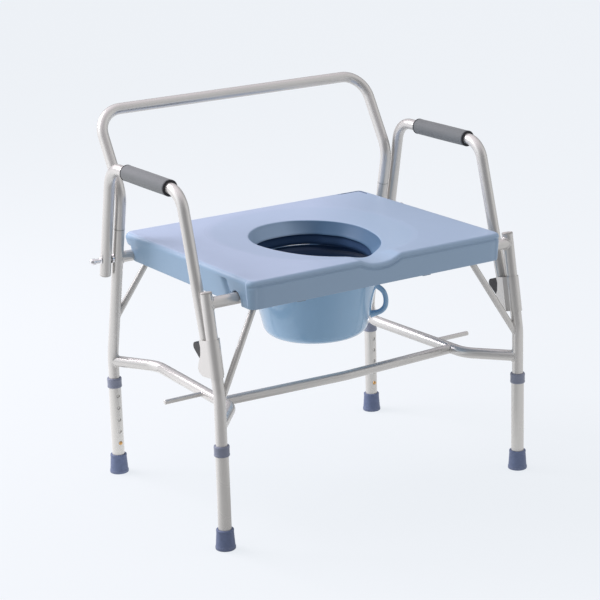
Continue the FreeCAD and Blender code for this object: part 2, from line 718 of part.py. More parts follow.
def make_release_lever(name, side):
    """Yoke round the back of the arm post, on a pin through the post."""
    tag = name + "_release_lever"
    x = side * DIM["arm_x"]
    lever = new_body(tag + "_body")
    sketch = new_sketch(lever, tag + "_side", "YZ_Plane", raised(-LEVER_HALF_WIDTH))
    polygon(sketch, LEVER_OUTLINE)
    add_pad(lever, tag + "_slab", sketch, 2 * LEVER_HALF_WIDTH)
    lever.setExpression("Placement.Base.x", "%d*Dims.arm_x" % side)

    slot_y = post_y(SLOT_Z)
    slot = round_bar(tag + "_slot", "tube_od", SLOT_LEN, (x, slot_y, SLOT_Z), POST_WAY, 0.9)
    # the slot opened towards the front, square to the post
    mouth = box(tag + "_mouth", (0, -MOUTH_DEPTH, 0), (2 * LEVER_SLOT_R, 0, SLOT_LEN))
    tilt = math.atan2(POST_WAY.y, POST_WAY.z)
    mouth.Placement = Placement(
        Vector(x - LEVER_SLOT_R, slot_y - MOUTH_DEPTH * math.cos(tilt),
               SLOT_Z + MOUTH_DEPTH * math.sin(tilt)),
        Rotation(X_AXIS, -math.degrees(tilt)))
    under = box(tag + "_under", (x - LEVER_SLOT_R, -215.0, 350.0),
                (x + LEVER_SLOT_R, -178.0, 366.5))
    pin = round_bar(tag + "_pin_drill", "pin_dia", 40, (x - 20, PIN_Y, PIN_Z), X_AXIS, 0.06)
    keep(cut(tag, lever, slot, mouth, under, pin))


def make_lever_pin(name, side):
    keep(round_bar(name + "_lever_pin", "pin_dia", PIN_LEN,
                   (side * DIM["arm_x"] - PIN_LEN / 2, PIN_Y, PIN_Z), X_AXIS))


def make_lever_spring(name, side):
    """Coil on the pin, inside the post."""
    helix = doc.addObject("Part::Helix", name + "_spring_line")
    helix.Pitch, helix.Height, helix.Radius = COIL_PITCH, COIL_LEN, COIL_R
    wire = doc.addObject("Part::Circle", name + "_spring_wire")
    wire.Radius = COIL_WIRE_R
    wire.Placement = Placement(Vector(COIL_R, 0, 0), Rotation(X_AXIS, 90))
    doc.recompute()
    spring = doc.addObject("Part::Sweep", name + "_lever_spring")
    spring.Sections = [wire]
    spring.Spine = (helix, ["Edge1"])
    spring.Solid = True
    spring.Frenet = True
    spring.Placement = place_along((side * DIM["arm_x"] - COIL_LEN / 2, PIN_Y, PIN_Z), X_AXIS)
    doc.recompute()
    keep(spring)


for name, side in SIDES:
    make_arm_tube(name, side)
    make_arm_grip(name, side)
    make_arm_plugs(name, side)
    make_release_lever(name, side)
    make_lever_pin(name, side)
    make_lever_spring(name, side)

# ------------------------------------------------------------------ leg extensions, feet, buttons
HOLE_COUNT = 5
SLEEVE_FIT_R = DIM["sleeve_od"] / 2 + 0.01    # bore of the pieces fitted over the sleeve
STRIP_WIDTH = 7.0
STEM_R, STEM_HOLE_R = 1.6, 1.75
# folded strip inside the tube, (distance towards the button side, negative outwards; z)
STRIP_OUTLINE = [
    (8.4, 18.0), (8.4, 88.0), (7.0, 92.5), (3.6, 94.8), (-0.6, 93.6), (-3.2, 89.0), (-3.2, 58.0),
    (-2.5, 58.0), (-2.5, 88.8), (-0.3, 92.9), (3.5, 94.0), (6.5, 92.0), (7.7, 87.9), (7.7, 18.0),
]


def make_extension(corner, placement):
    """Sleeve with a row of holes in its -Y wall before it is placed."""
    tag = corner + "_extension"
    body = new_body(tag + "_body")
    ring = new_sketch(body, tag + "_ring", "XY_Plane", raised(DIM["sleeve_base"]))
    ring_section(ring, [(DIM["sleeve_od"] / 2, "Dims.sleeve_od/2"),
                        (DIM["sleeve_bore"] / 2, "Dims.sleeve_bore/2")])
    add_pad(body, tag + "_sleeve", ring, DIM["sleeve_len"], "Dims.sleeve_len")

    low, radius = DIM["hole_low"], DIM["hole_dia"] / 2
    hole = new_sketch(body, tag + "_hole", "XZ_Plane")
    hole.addGeometry(Part.Circle(Vector(0, low, 0), Z_AXIS, radius), False)
    hole.addConstraint(Sketcher.Constraint("PointOnObject", 0, 3, -2))
    bind_constraint(hole, Sketcher.Constraint("DistanceY", -1, 1, 0, 3, low), "Dims.hole_low")
    bind_constraint(hole, Sketcher.Constraint("Radius", 0, radius), "Dims.hole_dia/2")
    drill = add_pocket(body, tag + "_drill", hole, 20.0)

    holes = body.newObject("PartDesign::LinearPattern", tag + "_row")
    holes.Originals = [drill]
    holes.Direction = (hole, ["V_Axis"])
    holes.Length = (HOLE_COUNT - 1) * DIM["hole_pitch"]
    holes.setExpression("Length", "%d*Dims.hole_pitch" % (HOLE_COUNT - 1))
    holes.Occurrences = HOLE_COUNT
    body.Tip = holes
    doc.recompute()
    body.Placement = placement
    keep(body, tag)


def make_collar(corner, x, y):
    """Collar over the top of the sleeve."""
    tag = corner + "_collar"
    bore_r, outer_r = DIM["sleeve_bore"] / 2, DIM["collar_od"] / 2
    low, top = DIM["collar_low"], DIM["collar_top"]
    ledge_z = DIM["sleeve_base"] + DIM["sleeve_len"] + 0.02
    body = lathe(tag + "_body",
                 [(SLEEVE_FIT_R, low), (outer_r - 0.5, low), (outer_r, low + 0.6),
                  (outer_r, top - 1.6), (outer_r - 0.5, top - 0.5), (outer_r - 1.6, top),
                  (bore_r, top), (bore_r, ledge_z), (SLEEVE_FIT_R, ledge_z)],
                 [(0, "r", "Dims.sleeve_od/2+0.01"), (2, "r", "Dims.collar_od/2"),
                  (7, "r", "Dims.sleeve_bore/2")])
    body.Placement = Placement(Vector(x, y, 0), Rotation())
    keep(body, tag)


def make_foot(corner, x, y):
    """Tapered foot with the sleeve standing in it."""
    tag = corner + "_foot"
    foot_r, top, floor = DIM["foot_dia"] / 2, DIM["foot_tall"], DIM["sleeve_base"] - 0.01
    body = lathe(tag + "_body",
                 [(0, 0), (foot_r - 2.6, 0), (foot_r - 0.8, 0.7), (foot_r, 2.4), (foot_r, 5.2),
                  (foot_r - 0.7, 6.4), (foot_r - 2.9, 36.2), (foot_r - 3.4, 38.8),
                  (foot_r - 4.6, top), (SLEEVE_FIT_R, top), (SLEEVE_FIT_R, floor), (0, floor)],
                 [(3, "r", "Dims.foot_dia/2"), (9, "r", "Dims.sleeve_od/2+0.01")])
    body.Placement = Placement(Vector(x, y, 0), Rotation())
    keep(body, tag)


def make_button(corner, x, y, face):
    """Snap button pressed level with the leg tube, with its stem behind it."""
    tag = corner + "_button"
    z = DIM["hole_low"]
    level = doc.addObject("Part::Common", tag + "_level")
    level.Base = round_bar(tag + "_head", "button_dia", 5.4, (x, y + face * 6.6, z), (0, face, 0))
    level.Tool = round_bar(tag + "_trim", "tube_od", 60, (x, y, z - 30), Z_AXIS, -0.02)
    stem = cylinder(tag + "_stem", STEM_R, 6.0, (x, y + face * 0.9, z), (0, face, 0))
    keep(fuse(tag, level, stem))


def strip_spring(corner, x, y, face, placement):
    """Folded strip inside the tube, holed for the button's stem."""
    body = new_body(corner + "_strip_body")
    sketch = new_sketch(body, corner + "_strip_line", "YZ_Plane", raised(-STRIP_WIDTH / 2))
    polygon(sketch, STRIP_OUTLINE)
    add_pad(body, corner + "_strip", sketch, STRIP_WIDTH)
    body.Placement = placement
    drill = cylinder(corner + "_strip_drill", STEM_HOLE_R, 8.0, (x, y, DIM["hole_low"]),
                     (0, face, 0))
    return cut(corner + "_strip_spring", body, drill)


strip_springs = []
for end in ENDS:
    for name, side in SIDES:
        corner = "%s_%s" % (name, end)
        x, y, face = side * LEG_X[end], LEG_Y[end], HOLE_FACE[end]
        # a half turn brings the -Y side of the front pieces to the rear
        placement = Placement(Vector(x, y, 0), Rotation(Z_AXIS, 180 if face > 0 else 0))
        make_extension(corner, placement)
        make_collar(corner, x, y)
        make_foot(corner, x, y)
        make_button(corner, x, y, face)
        strip_springs.append(strip_spring(corner, x, y, face, placement))
keep_group("snap_button_springs", strip_springs)

# ------------------------------------------------------------------ backrest
BACK_X = LEG_X["rear"]
SEAM = Vector(0, *LEG_TOP["rear"])      # top of the rear leg, where the backrest starts
SEAM_GAP = 0.03
BACK_BENDS = [60.0, 52.0, 52.0, 60.0]   # knee and top corner, then the same on the right
INSERT_WALL, INSERT_ABOVE = 1.5, 35.0


def make_backrest_tube():
    """The tube bends in two planes, so it is swept along one space curve."""
    start = SEAM + leg_upper_way("rear") * SEAM_GAP
    half = [(start.y, start.z), (DIM["knee_y"], DIM["knee_z"]),
            (DIM["top_bar_y"], DIM["top_bar_z"])]
    corners = ([Vector(-BACK_X, y, z) for y, z in half]
               + [Vector(BACK_X, y, z) for y, z in reversed(half)])
    path = Part.Wire([curve.toShape() for curve in filleted(corners, BACK_BENDS)])
    start_way = corners[1] - corners[0]

    def swept(radius):
        circle = Part.Wire([Part.Circle(corners[0], start_way, radius).toShape()])
        return path.makePipeShell([circle], True, False)

    tube = doc.addObject("Part::Feature", "backrest_tube")
    tube.Shape = swept(TUBE_R).cut(swept(BORE_R))
    keep(tube)


def make_backrest_inserts():
    """Inner tubes that join the rear legs to the backrest."""
    way = leg_upper_way("rear")
    inserts = []
    for name, side in SIDES:
        start = Vector(side * BACK_X, SEAM.y, SEAM.z) - way * DIM["insert_len"]
        outer = round_bar(name + "_back_insert", "insert_od", DIM["insert_len"] + INSERT_ABOVE,
                          start, way)
        bore = round_bar(name + "_back_insert_bore", "insert_od",
                         DIM["insert_len"] + INSERT_ABOVE + 5, start - way, way, -INSERT_WALL)
        inserts.append(cut(name + "_back_insert_tube", outer, bore))
    keep_group("backrest_inserts", inserts)


make_backrest_tube()
make_backrest_inserts()

# ------------------------------------------------------------------ seat
SEAT_HALF = DIM["seat_width"] / 2
SEAT_FRONT, SEAT_BACK = DIM["seat_front"], DIM["seat_back"]
SEAT_TOP, SKIRT_Z, SEAT_WALL = DIM["seat_top"], DIM["seat_skirt"], DIM["seat_wall"]
DECK_Z = SEAT_TOP - SEAT_WALL   # underside of the deck
BELOW_Z = SKIRT_Z - 1           # where the cuts from below start
TOP_ROUND = 7.0
CHANNEL_Z, CHANNEL_THICK, CHANNEL_HALF = 493.5, 14.5, 52
THROAT_Z = 475                  # where the opening's sloping wall ends
RING_BOTTOM_Z = 456
RING_HALF = 140                 # half width of the cuts under the ring round the opening
ARCH_Y, ARCH_Z, ARCH_R, ARCH_LEN = -208.0, 465.0, 17.0, 60
SCOOP_R, SCOOP_DEPTH, SCOOP_LEN = 79.5, 12.0, 90.0
# Half outlines of the opening, (x, y), from the back round to the front, mirrored in the
# middle plane: at the rim, and where the sloping wall ends.
RIM_HALF = [
    (0, 113.4), (35, 108.0), (62, 92.5), (85.4, 70.0), (106.9, 35.0), (116.8, 0.0),
    (117.6, -35.0), (112.3, -70.0), (100.6, -110.0), (80.3, -150.0), (64.7, -170.0),
    (47.2, -187.0), (24.0, -204.0), (0, -211.0),
]
THROAT_HALF = [
    (0, 95.0), (35, 91.0), (66, 75.0), (87, 46.0), (100, 21.0), (104.5, -12.0),
    (102.5, -50.0), (92, -88.0), (76, -122.0), (58, -152.0), (42, -175.0),
    (28, -192.0), (14, -203.0), (0, -208.0),
]


def hole_outline(half, grow=0.0):
    """The half outline and its mirror image as one loop, moved outwards by grow."""
    loop = [Vector(x, y, 0) for x, y in half] + [Vector(-x, y, 0) for x, y in half[-2:0:-1]]
    if not grow:
        return loop
    grown = []
    for i, point in enumerate(loop):
        along = loop[(i + 1) % len(loop)] - loop[i - 1]
        along.normalize()
        grown.append(point + Vector(-along.y, along.x, 0) * grow)
    return grown


def seat_block(seat):
    """Drafted block, rounded round its top."""
    sketch = new_sketch(seat, "seat_outline", "XY_Plane", raised(SKIRT_Z))
    rounded_rect(sketch, -SEAT_HALF, SEAT_FRONT, SEAT_HALF, SEAT_BACK, DIM["seat_corner"])
    block = add_pad(seat, "seat_block", sketch, SEAT_TOP - SKIRT_Z,
                    "Dims.seat_top-Dims.seat_skirt")
    block.TaperAngle = DIM["seat_draft_deg"]
    block.setExpression("TaperAngle", "Dims.seat_draft_deg")
    doc.recompute()
    top_edges = ["Edge%d" % i for i, edge in enumerate(seat.Shape.Edges, start=1)
                 if edge.BoundBox.ZMin > SEAT_TOP - 0.01]
    rounded = seat.newObject("PartDesign::Fillet", "seat_top_round")
    rounded.Base = (block, top_edges)
    rounded.Radius = TOP_ROUND
    seat.Tip = rounded
    doc.recompute()


def seat_hollows(seat):
    """Hollow underside, channel floor, sloping opening and the trim under its ring."""
    sketch = new_sketch(seat, "seat_underside_sketch", "XY_Plane", raised(BELOW_Z))
    rounded_rect(sketch, -SEAT_HALF + SEAT_WALL, SEAT_FRONT + SEAT_WALL, SEAT_HALF - SEAT_WALL,
                 SEAT_BACK - SEAT_WALL, DIM["seat_corner"] - SEAT_WALL)
    spline_loop(sketch, hole_outline(RIM_HALF, SEAT_WALL))
    add_pocket(seat, "seat_underside", sketch, DECK_Z - BELOW_Z)

    # thicker strip under the open front channel
    sketch = new_sketch(seat, "channel_floor_sketch", "XY_Plane", raised(CHANNEL_Z))
    polygon(sketch, [(-CHANNEL_HALF, SEAT_FRONT + 2), (CHANNEL_HALF, SEAT_FRONT + 2),
                     (CHANNEL_HALF, -160), (-CHANNEL_HALF, -160)])
    add_pad(seat, "channel_floor", sketch, CHANNEL_THICK)

    sketch = new_sketch(seat, "seat_opening_sketch", "XY_Plane", raised(BELOW_Z))
    spline_loop(sketch, hole_outline(THROAT_HALF))
    add_pocket(seat, "seat_opening", sketch, 80)

    # the wall of the opening slopes in from the rim to the throat
    throat = new_sketch(seat, "throat_sketch", "XY_Plane", raised(THROAT_Z))
    spline_loop(throat, hole_outline(THROAT_HALF))
    rim = new_sketch(seat, "rim_sketch", "XY_Plane", raised(SEAT_TOP + 1))
    spline_loop(rim, hole_outline(RIM_HALF))
    doc.recompute()
    slope = seat.newObject("PartDesign::SubtractiveLoft", "seat_opening_slope")
    slope.Profile = throat
    slope.Sections = [rim]
    slope.Ruled = True
    seat.Tip = slope
    doc.recompute()

    # the ring round the opening ends a little above the pail
    sketch = new_sketch(seat, "seat_ring_trim_sketch", "XY_Plane", raised(BELOW_Z))
    rounded_rect(sketch, -RING_HALF, -232, RING_HALF, 140, 20)
    add_pocket(seat, "seat_ring_trim", sketch, RING_BOTTOM_Z - BELOW_Z)


def make_seat():
    seat = new_body("seat_panel_body")
    seat_block(seat)
    seat_hollows(seat)
    trim_z = SKIRT_Z - 5
    # the skirt stops in front of the hinge tube; only the deck and its lip run on
    rear_trim = box("seat_rear_trim", (-SEAT_HALF - 12, 179.4, trim_z),
                    (SEAT_HALF + 12, SEAT_BACK + 12, 484.0))
    # the ring's front end stops above the front seat tube
    front_trim = box("seat_front_trim", (-RING_HALF, -240.0, trim_z), (RING_HALF, -186.0, 482.0))
    # open channel from the hole to the front edge
    scoop = cylinder("seat_scoop", SCOOP_R, SCOOP_LEN, (0, 0, 0), Z_AXIS)
    scoop.Placement = Placement(Vector(0, SEAT_FRONT - 5, SEAT_TOP - SCOOP_DEPTH + SCOOP_R),
                                Rotation(X_AXIS, -90))
    # rounded recesses where the front tube passes the side skirts
    arches = []
    for letter, x in (("l", -SEAT_HALF - 20), ("r", SEAT_HALF - 40)):
        arches.append(cylinder("seat_arch_" + letter, ARCH_R, ARCH_LEN, (x, ARCH_Y, ARCH_Z),
                               X_AXIS))
        arches.append(box("seat_arch_%s2" % letter, (x, ARCH_Y - ARCH_R, trim_z),
                          (x + ARCH_LEN, ARCH_Y + ARCH_R, ARCH_Z)))
    keep(cut("seat_panel", seat, rear_trim, front_trim, scoop, *arches))


make_seat()

# ------------------------------------------------------------------ seat clips and saddles
CLIP_X = (-180.0, 0.0, 180.0)
SADDLE_X = (-180.0, 180.0)
CLIP_WIDTH = DIM["clip_width"]
CLIP_R = 14.6
BLOCK_TOP = DECK_Z - 0.02
SCREW_LEN = 20


def tube_bore(tag, x, y, z):
    """Clearance bore for a seat tube through a clip or saddle."""
    return round_bar(tag, "tube_od", CLIP_WIDTH + 10, (x - CLIP_WIDTH / 2 - 5, y, z), X_AXIS, 0.08)


def screw_hole(tag, x, y, depth):
    return round_bar(tag, "screw_dia", depth, (x, y, DECK_Z - depth), Z_AXIS, 0.02)


def screw(tag, x, y):
    return round_bar(tag, "screw_dia", SCREW_LEN, (x, y, DECK_Z - SCREW_LEN - 0.1), Z_AXIS)


def hinge_clip(i, x):
    """Clip round the rear seat tube, open downwards."""
    x0, x1 = x - CLIP_WIDTH / 2, x + CLIP_WIDTH / 2
    y, z = SEAT_TUBE["rear"]
    block = box("clip_block%d" % i, (x0, y - 9.0, z - 5.0), (x1, y + 9.0, BLOCK_TOP))
    barrel = cylinder("clip_round%d" % i, CLIP_R, CLIP_WIDTH, (x0, y, z), X_AXIS)
    solid = fuse("clip_solid%d" % i, block, barrel)
    bore = tube_bore("clip_bore%d" % i, x, y, z)
    mouth = box("clip_mouth%d" % i, (x0 - 1, y - 9.6, z - 20.0), (x1 + 1, y + 9.6, z - 4.0))
    hole = screw_hole("clip_screw_hole%d" % i, x, y, 24)
    return cut("hinge_clip%d" % i, solid, bore, mouth, hole)


def rest_saddle(i, x):
    """Block that rests on the front seat tube."""
    y, z = SEAT_TUBE["front"]
    block = box("saddle_block%d" % i, (x - CLIP_WIDTH / 2, y - 13.0, z + 1.0),
                (x + CLIP_WIDTH / 2, y + 13.0, BLOCK_TOP))
    bore = tube_bore("saddle_bore%d" % i, x, y, z)
    hole = screw_hole("saddle_screw_hole%d" % i, x, y, 21)
    return cut("rest_saddle%d" % i, block, bore, hole)


keep_group("seat_hinge_clips", [hinge_clip(i, x) for i, x in enumerate(CLIP_X)])
keep_group("seat_rest_saddles", [rest_saddle(i, x) for i, x in enumerate(SADDLE_X)])
keep_group("seat_clip_screws",
           [screw("hinge_screw%d" % i, x, SEAT_TUBE["rear"][0]) for i, x in enumerate(CLIP_X)]
           + [screw("saddle_screw%d" % i, x, SEAT_TUBE["front"][0])
              for i, x in enumerate(SADDLE_X)])

# ------------------------------------------------------------------ pail
PAIL_WALL = DIM["pail_wall"]
PAIL_RIM_R, PAIL_RIM_Z = DIM["pail_rim_dia"] / 2, DIM["pail_rim_z"]
PAIL_FLOOR_Z = 304.5            # underside of the floor
PAIL_LOW_R = 109.0              # outside, where the bottom round ends
PAIL_HIGH_R = 132.0             # outside, just under the rim
PAIL_ROUND = 39.0
HANDLE_DEG = -30.0              # bearing of the handle, from +X: right, towards the front
HANDLE_R = 5.6
# handle centre line, (distance from the pail's axis, z), from the top down
HANDLE_LINE = [
    (119.0, 398.0), (131.5, 390.0), (140.0, 376.0), (141.0, 361.0), (136.0, 349.0),
    (126.0, 342.5), (108.0, 338.0),
]


def pail_round(inset):
    """Points of the bottom round from the floor up, moved into the wall by inset."""
    radius = PAIL_ROUND - inset
    angles = [math.radians(10 * i) for i in range(10)]
    return [(PAIL_LOW_R - PAIL_ROUND + radius * math.sin(angle),
             PAIL_FLOOR_Z + PAIL_ROUND - radius * math.cos(angle)) for angle in angles]


def pail_shell():
    outer = [(0, PAIL_FLOOR_Z), (66.0, PAIL_FLOOR_Z)] + pail_round(0)
    outer += [(PAIL_HIGH_R, PAIL_RIM_Z - 5.8), (PAIL_RIM_R - 1.0, PAIL_RIM_Z - 5.8),
              (PAIL_RIM_R, PAIL_RIM_Z - 4.8), (PAIL_RIM_R, PAIL_RIM_Z - 1.2),
              (PAIL_RIM_R - 1.2, PAIL_RIM_Z)]
    inner = [(PAIL_HIGH_R - PAIL_WALL, PAIL_RIM_Z)] + pail_round(PAIL_WALL)[::-1]
    inner.append((0, PAIL_FLOOR_Z + PAIL_WALL))
    shell = lathe("pail_shell", outer + inner, [(len(outer) - 3, "z", "Dims.pail_rim_z-4.8")])
    shell.setExpression("Placement.Base.y", "Dims.pail_y")
    return shell


def pail_handle():
    """D-shaped loop in a plane through the pail's axis, cut off at the pail's inside."""
    bearing = math.radians(HANDLE_DEG)
    points = [Vector(radius * math.cos(bearing), DIM["pail_y"] + radius * math.sin(bearing), z)
              for radius, z in HANDLE_LINE]
    curve = Part.BSplineCurve()
    curve.interpolate(points)
    start_way = curve.tangent(curve.FirstParameter)[0]
    section = Part.Wire([Part.Circle(points[0], start_way, HANDLE_R).toShape()])
    loop = doc.addObject("Part::Feature", "pail_handle_loop")
    loop.Shape = Part.Wire([curve.toShape()]).makePipeShell([section], True, False)
    inside = lathe("pail_inside",
                   [(0, PAIL_FLOOR_Z + PAIL_WALL - 0.5)] + pail_round(PAIL_WALL)
                   + [(PAIL_HIGH_R - PAIL_WALL, PAIL_RIM_Z + 5), (0, PAIL_RIM_Z + 5)])
    inside.setExpression("Placement.Base.y", "Dims.pail_y")
    return cut("pail_handle_trimmed", loop, inside)


keep(fuse("pail", pail_shell(), pail_handle()))

# ------------------------------------------------------------------ state check and export
doc.recompute()
faults = ["%s %s" % (item.Name, item.State) for item in doc.Objects
          if "Invalid" in item.State or "Error" in item.State]
for piece in finished:
    shape = piece.Shape
    if shape.isNull() or not shape.isValid() or not shape.Solids:
        faults.append(piece.Label + " has no valid solid")
if faults:
    raise RuntimeError("; ".join(faults))
for piece in finished:
    piece.Shape.exportStep("parts/%s.step" % piece.Label)
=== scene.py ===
import bpy
import json
import math
import numpy as np
from mathutils import Matrix, Vector


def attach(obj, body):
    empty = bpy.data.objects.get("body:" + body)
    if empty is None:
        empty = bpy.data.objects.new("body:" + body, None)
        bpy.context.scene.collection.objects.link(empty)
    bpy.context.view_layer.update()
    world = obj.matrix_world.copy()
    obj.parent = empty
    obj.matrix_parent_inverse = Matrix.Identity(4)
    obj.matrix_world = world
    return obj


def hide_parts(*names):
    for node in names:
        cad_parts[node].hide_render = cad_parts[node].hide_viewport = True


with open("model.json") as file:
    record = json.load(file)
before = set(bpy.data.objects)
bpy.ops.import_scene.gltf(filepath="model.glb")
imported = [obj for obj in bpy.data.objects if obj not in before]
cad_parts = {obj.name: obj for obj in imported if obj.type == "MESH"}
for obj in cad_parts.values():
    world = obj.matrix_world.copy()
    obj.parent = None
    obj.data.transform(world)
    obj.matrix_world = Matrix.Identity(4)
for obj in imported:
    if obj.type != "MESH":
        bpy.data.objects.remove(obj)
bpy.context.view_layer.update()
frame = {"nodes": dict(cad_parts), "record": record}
NODES = frame["nodes"]
MM = 0.001
SIDES = (("left", -1.0), ("right", 1.0))
CORNERS = (("left_front", -1.0, "front"), ("right_front", 1.0, "front"), ("left_rear", -1.0, "rear"), ("right_rear", 1.0, "rear"))


# =====================================================================================
# colour and material helpers
# =====================================================================================
def lin(r, g, b):
    """sRGB 0-255 to linear."""
    out = []
    for v in (r, g, b):
        c = v / 255.0
        out.append(c / 12.92 if c <= 0.04045 else ((c + 0.055) / 1.055) ** 2.4)
    return (out[0], out[1], out[2], 1.0)


class Mat:
    """Small helper that wires a Principled material out of procedural nodes."""

    def __init__(self, name):
        self.mat = bpy.data.materials.new(name)
        self.mat.use_nodes = True
        self.nt = self.mat.node_tree
        self.nt.nodes.clear()
        self.out = self.nt.nodes.new("ShaderNodeOutputMaterial")
        self.bsdf = self.nt.nodes.new("ShaderNodeBsdfPrincipled")
        self.nt.links.new(self.bsdf.outputs["BSDF"], self.out.inputs["Surface"])
        self.coord = self.nt.nodes.new("ShaderNodeTexCoord")
        self._bump = None

    def node(self, kind, **props):
        n = self.nt.nodes.new(kind)
        for k, v in props.items():
            setattr(n, k, v)
        return n

    def link(self, a, b):
        self.nt.links.new(a, b)

    def set(self, name, value):
        self.bsdf.inputs[name].default_value = value

    def mapping(self, scale=(1, 1, 1), rot=(0, 0, 0)):
        m = self.node("ShaderNodeMapping")
        m.inputs["Scale"].default_value = scale
        m.inputs["Rotation"].default_value = rot
        self.link(self.coord.outputs["Object"], m.inputs["Vector"])
        return m.outputs["Vector"]

    def noise(self, scale, detail=3.0, rough=0.5, vector=None, dist=0.0):
        n = self.node("ShaderNodeTexNoise")
        n.inputs["Scale"].default_value = scale
        n.inputs["Detail"].default_value = detail
        n.inputs["Roughness"].default_value = rough
        n.inputs["Distortion"].default_value = dist
        self.link(vector if vector is not None else self.coord.outputs["Object"], n.inputs["Vector"])
        return n.outputs["Fac"]

    def voronoi(self, scale, vector=None, feature="F1"):
        n = self.node("ShaderNodeTexVoronoi", feature=feature)
        n.inputs["Scale"].default_value = scale
        self.link(vector if vector is not None else self.coord.outputs["Object"], n.inputs["Vector"])
        return n.outputs["Distance"]

    def ramp(self, fac, stops, mode="LINEAR"):
        r = self.node("ShaderNodeValToRGB")
        r.color_ramp.interpolation = mode
        els = r.color_ramp.elements
        while len(els) > 1:
            els.remove(els[-1])
        els[0].position = stops[0][0]
        els[0].color = stops[0][1]
        for p, c in stops[1:]:
            e = els.new(p)
            e.color = c
        self.link(fac, r.inputs["Fac"])
        return r.outputs["Color"]

    def maprange(self, fac, a, b, c, d, clamp=True):
        m = self.node("ShaderNodeMapRange")
        m.clamp = clamp
        m.inputs["From Min"].default_value = a
        m.inputs["From Max"].default_value = b
        m.inputs["To Min"].default_value = c
        m.inputs["To Max"].default_value = d
        self.link(fac, m.inputs["Value"])
        return m.outputs["Result"]

    def math(self, op, a, b=None):
        m = self.node("ShaderNodeMath", operation=op)
        for i, v in enumerate((a, b)):
            if v is None:
                continue
            if isinstance(v, (int, float)):
                m.inputs[i].default_value = v
            else:
                self.link(v, m.inputs[i])
        return m.outputs["Value"]

    def mix(self, fac, a, b, blend="MIX"):
        m = self.node("ShaderNodeMix", data_type="RGBA", blend_type=blend)
        if isinstance(fac, (int, float)):
            m.inputs[0].default_value = fac
        else:
            self.link(fac, m.inputs[0])
        for sock, v in ((m.inputs[6], a), (m.inputs[7], b)):
            if isinstance(v, tuple):
                sock.default_value = v
            else:
                self.link(v, sock)
        return m.outputs[2]

    def bump(self, height, strength, distance):
        b = self.node("ShaderNodeBump")
        b.inputs["Strength"].default_value = strength
        b.inputs["Distance"].default_value = distance
        self.link(height, b.inputs["Height"])
        if self._bump is not None:
            self.link(self._bump, b.inputs["Normal"])
        self._bump = b.outputs["Normal"]
        self.link(self._bump, self.bsdf.inputs["Normal"])
        return b

    def edge(self, radius, lo=0.02, hi=0.18):
        """0 on flats, 1 where the surface turns sharply within the radius."""
        bev = self.node("ShaderNodeBevel")
        bev.samples = 6
        bev.inputs["Radius"].default_value = radius
        geo = self.node("ShaderNodeNewGeometry")
        dot = self.node("ShaderNodeVectorMath", operation="DOT_PRODUCT")
        self.link(bev.outputs["Normal"], dot.inputs[0])
        self.link(geo.outputs["Normal"], dot.inputs[1])
        inv = self.math("SUBTRACT", 1.0, dot.outputs["Value"])
        return self.maprange(inv, lo, hi, 0.0, 1.0)

    def height(self):
        """World height in metres."""
        geo = self.node("ShaderNodeNewGeometry")
        sep = self.node("ShaderNodeSeparateXYZ")
        self.link(geo.outputs["Position"], sep.inputs[0])
        return sep.outputs["Z"]


def paint_material(name, base, worn, metallic=0.45, rough=0.34, coat=0.3, dirt=0.025):
    """Satin powder coat: cloudy tone, fine orange peel, small flecks, worn and polished edges."""
    m = Mat(name)
    cloud = m.noise(5.0, 1.0, 0.4)
    tone = m.maprange(cloud, 0.3, 0.7, 0.0, 1.0)
    dark = tuple(v * 0.975 for v in base[:3]) + (1.0,)
    light = tuple(min(1.0, v * 1.02) for v in base[:3]) + (1.0,)
    col = m.mix(tone, dark, light)
    fleck = m.noise(2600.0, 2.0, 0.6)
    fl = m.maprange(fleck, 0.62, 0.75, 0.0, 0.04)
    col = m.mix(fl, col, tuple(min(1.0, v * 1.35) for v in base[:3]) + (1.0,))
    smudge = m.noise(9.0, 2.0, 0.5, dist=0.3)
    sm = m.maprange(smudge, 0.55, 0.8, 0.0, dirt * 2)
    col = m.mix(sm, col, tuple(v * 0.78 for v in base[:3]) + (1.0,))
    e = m.edge(0.0010, 0.32, 0.62)
    chip = m.noise(420.0, 3.0, 0.7)
    wear = m.math("MULTIPLY", e, m.maprange(chip, 0.42, 0.62, 0.0, 0.8))
    col = m.mix(wear, col, worn)
    m.link(col, m.bsdf.inputs["Base Color"])
    m.set("Metallic", metallic)
    r = m.maprange(m.noise(14.0, 1.0, 0.4), 0.3, 0.7, rough - 0.015, rough + 0.02)
    r = m.math("SUBTRACT", r, m.math("MULTIPLY", wear, 0.08))
    m.link(r, m.bsdf.inputs["Roughness"])
    m.set("Coat Weight", coat)
    m.set("Coat Roughness", 0.22)
    m.bump(m.noise(700.0, 1.0, 0.5), 0.02, 0.0001)
    m.bump(m.noise(2200.0, 1.0, 0.5), 0.02, 0.00005)
    return m.mat


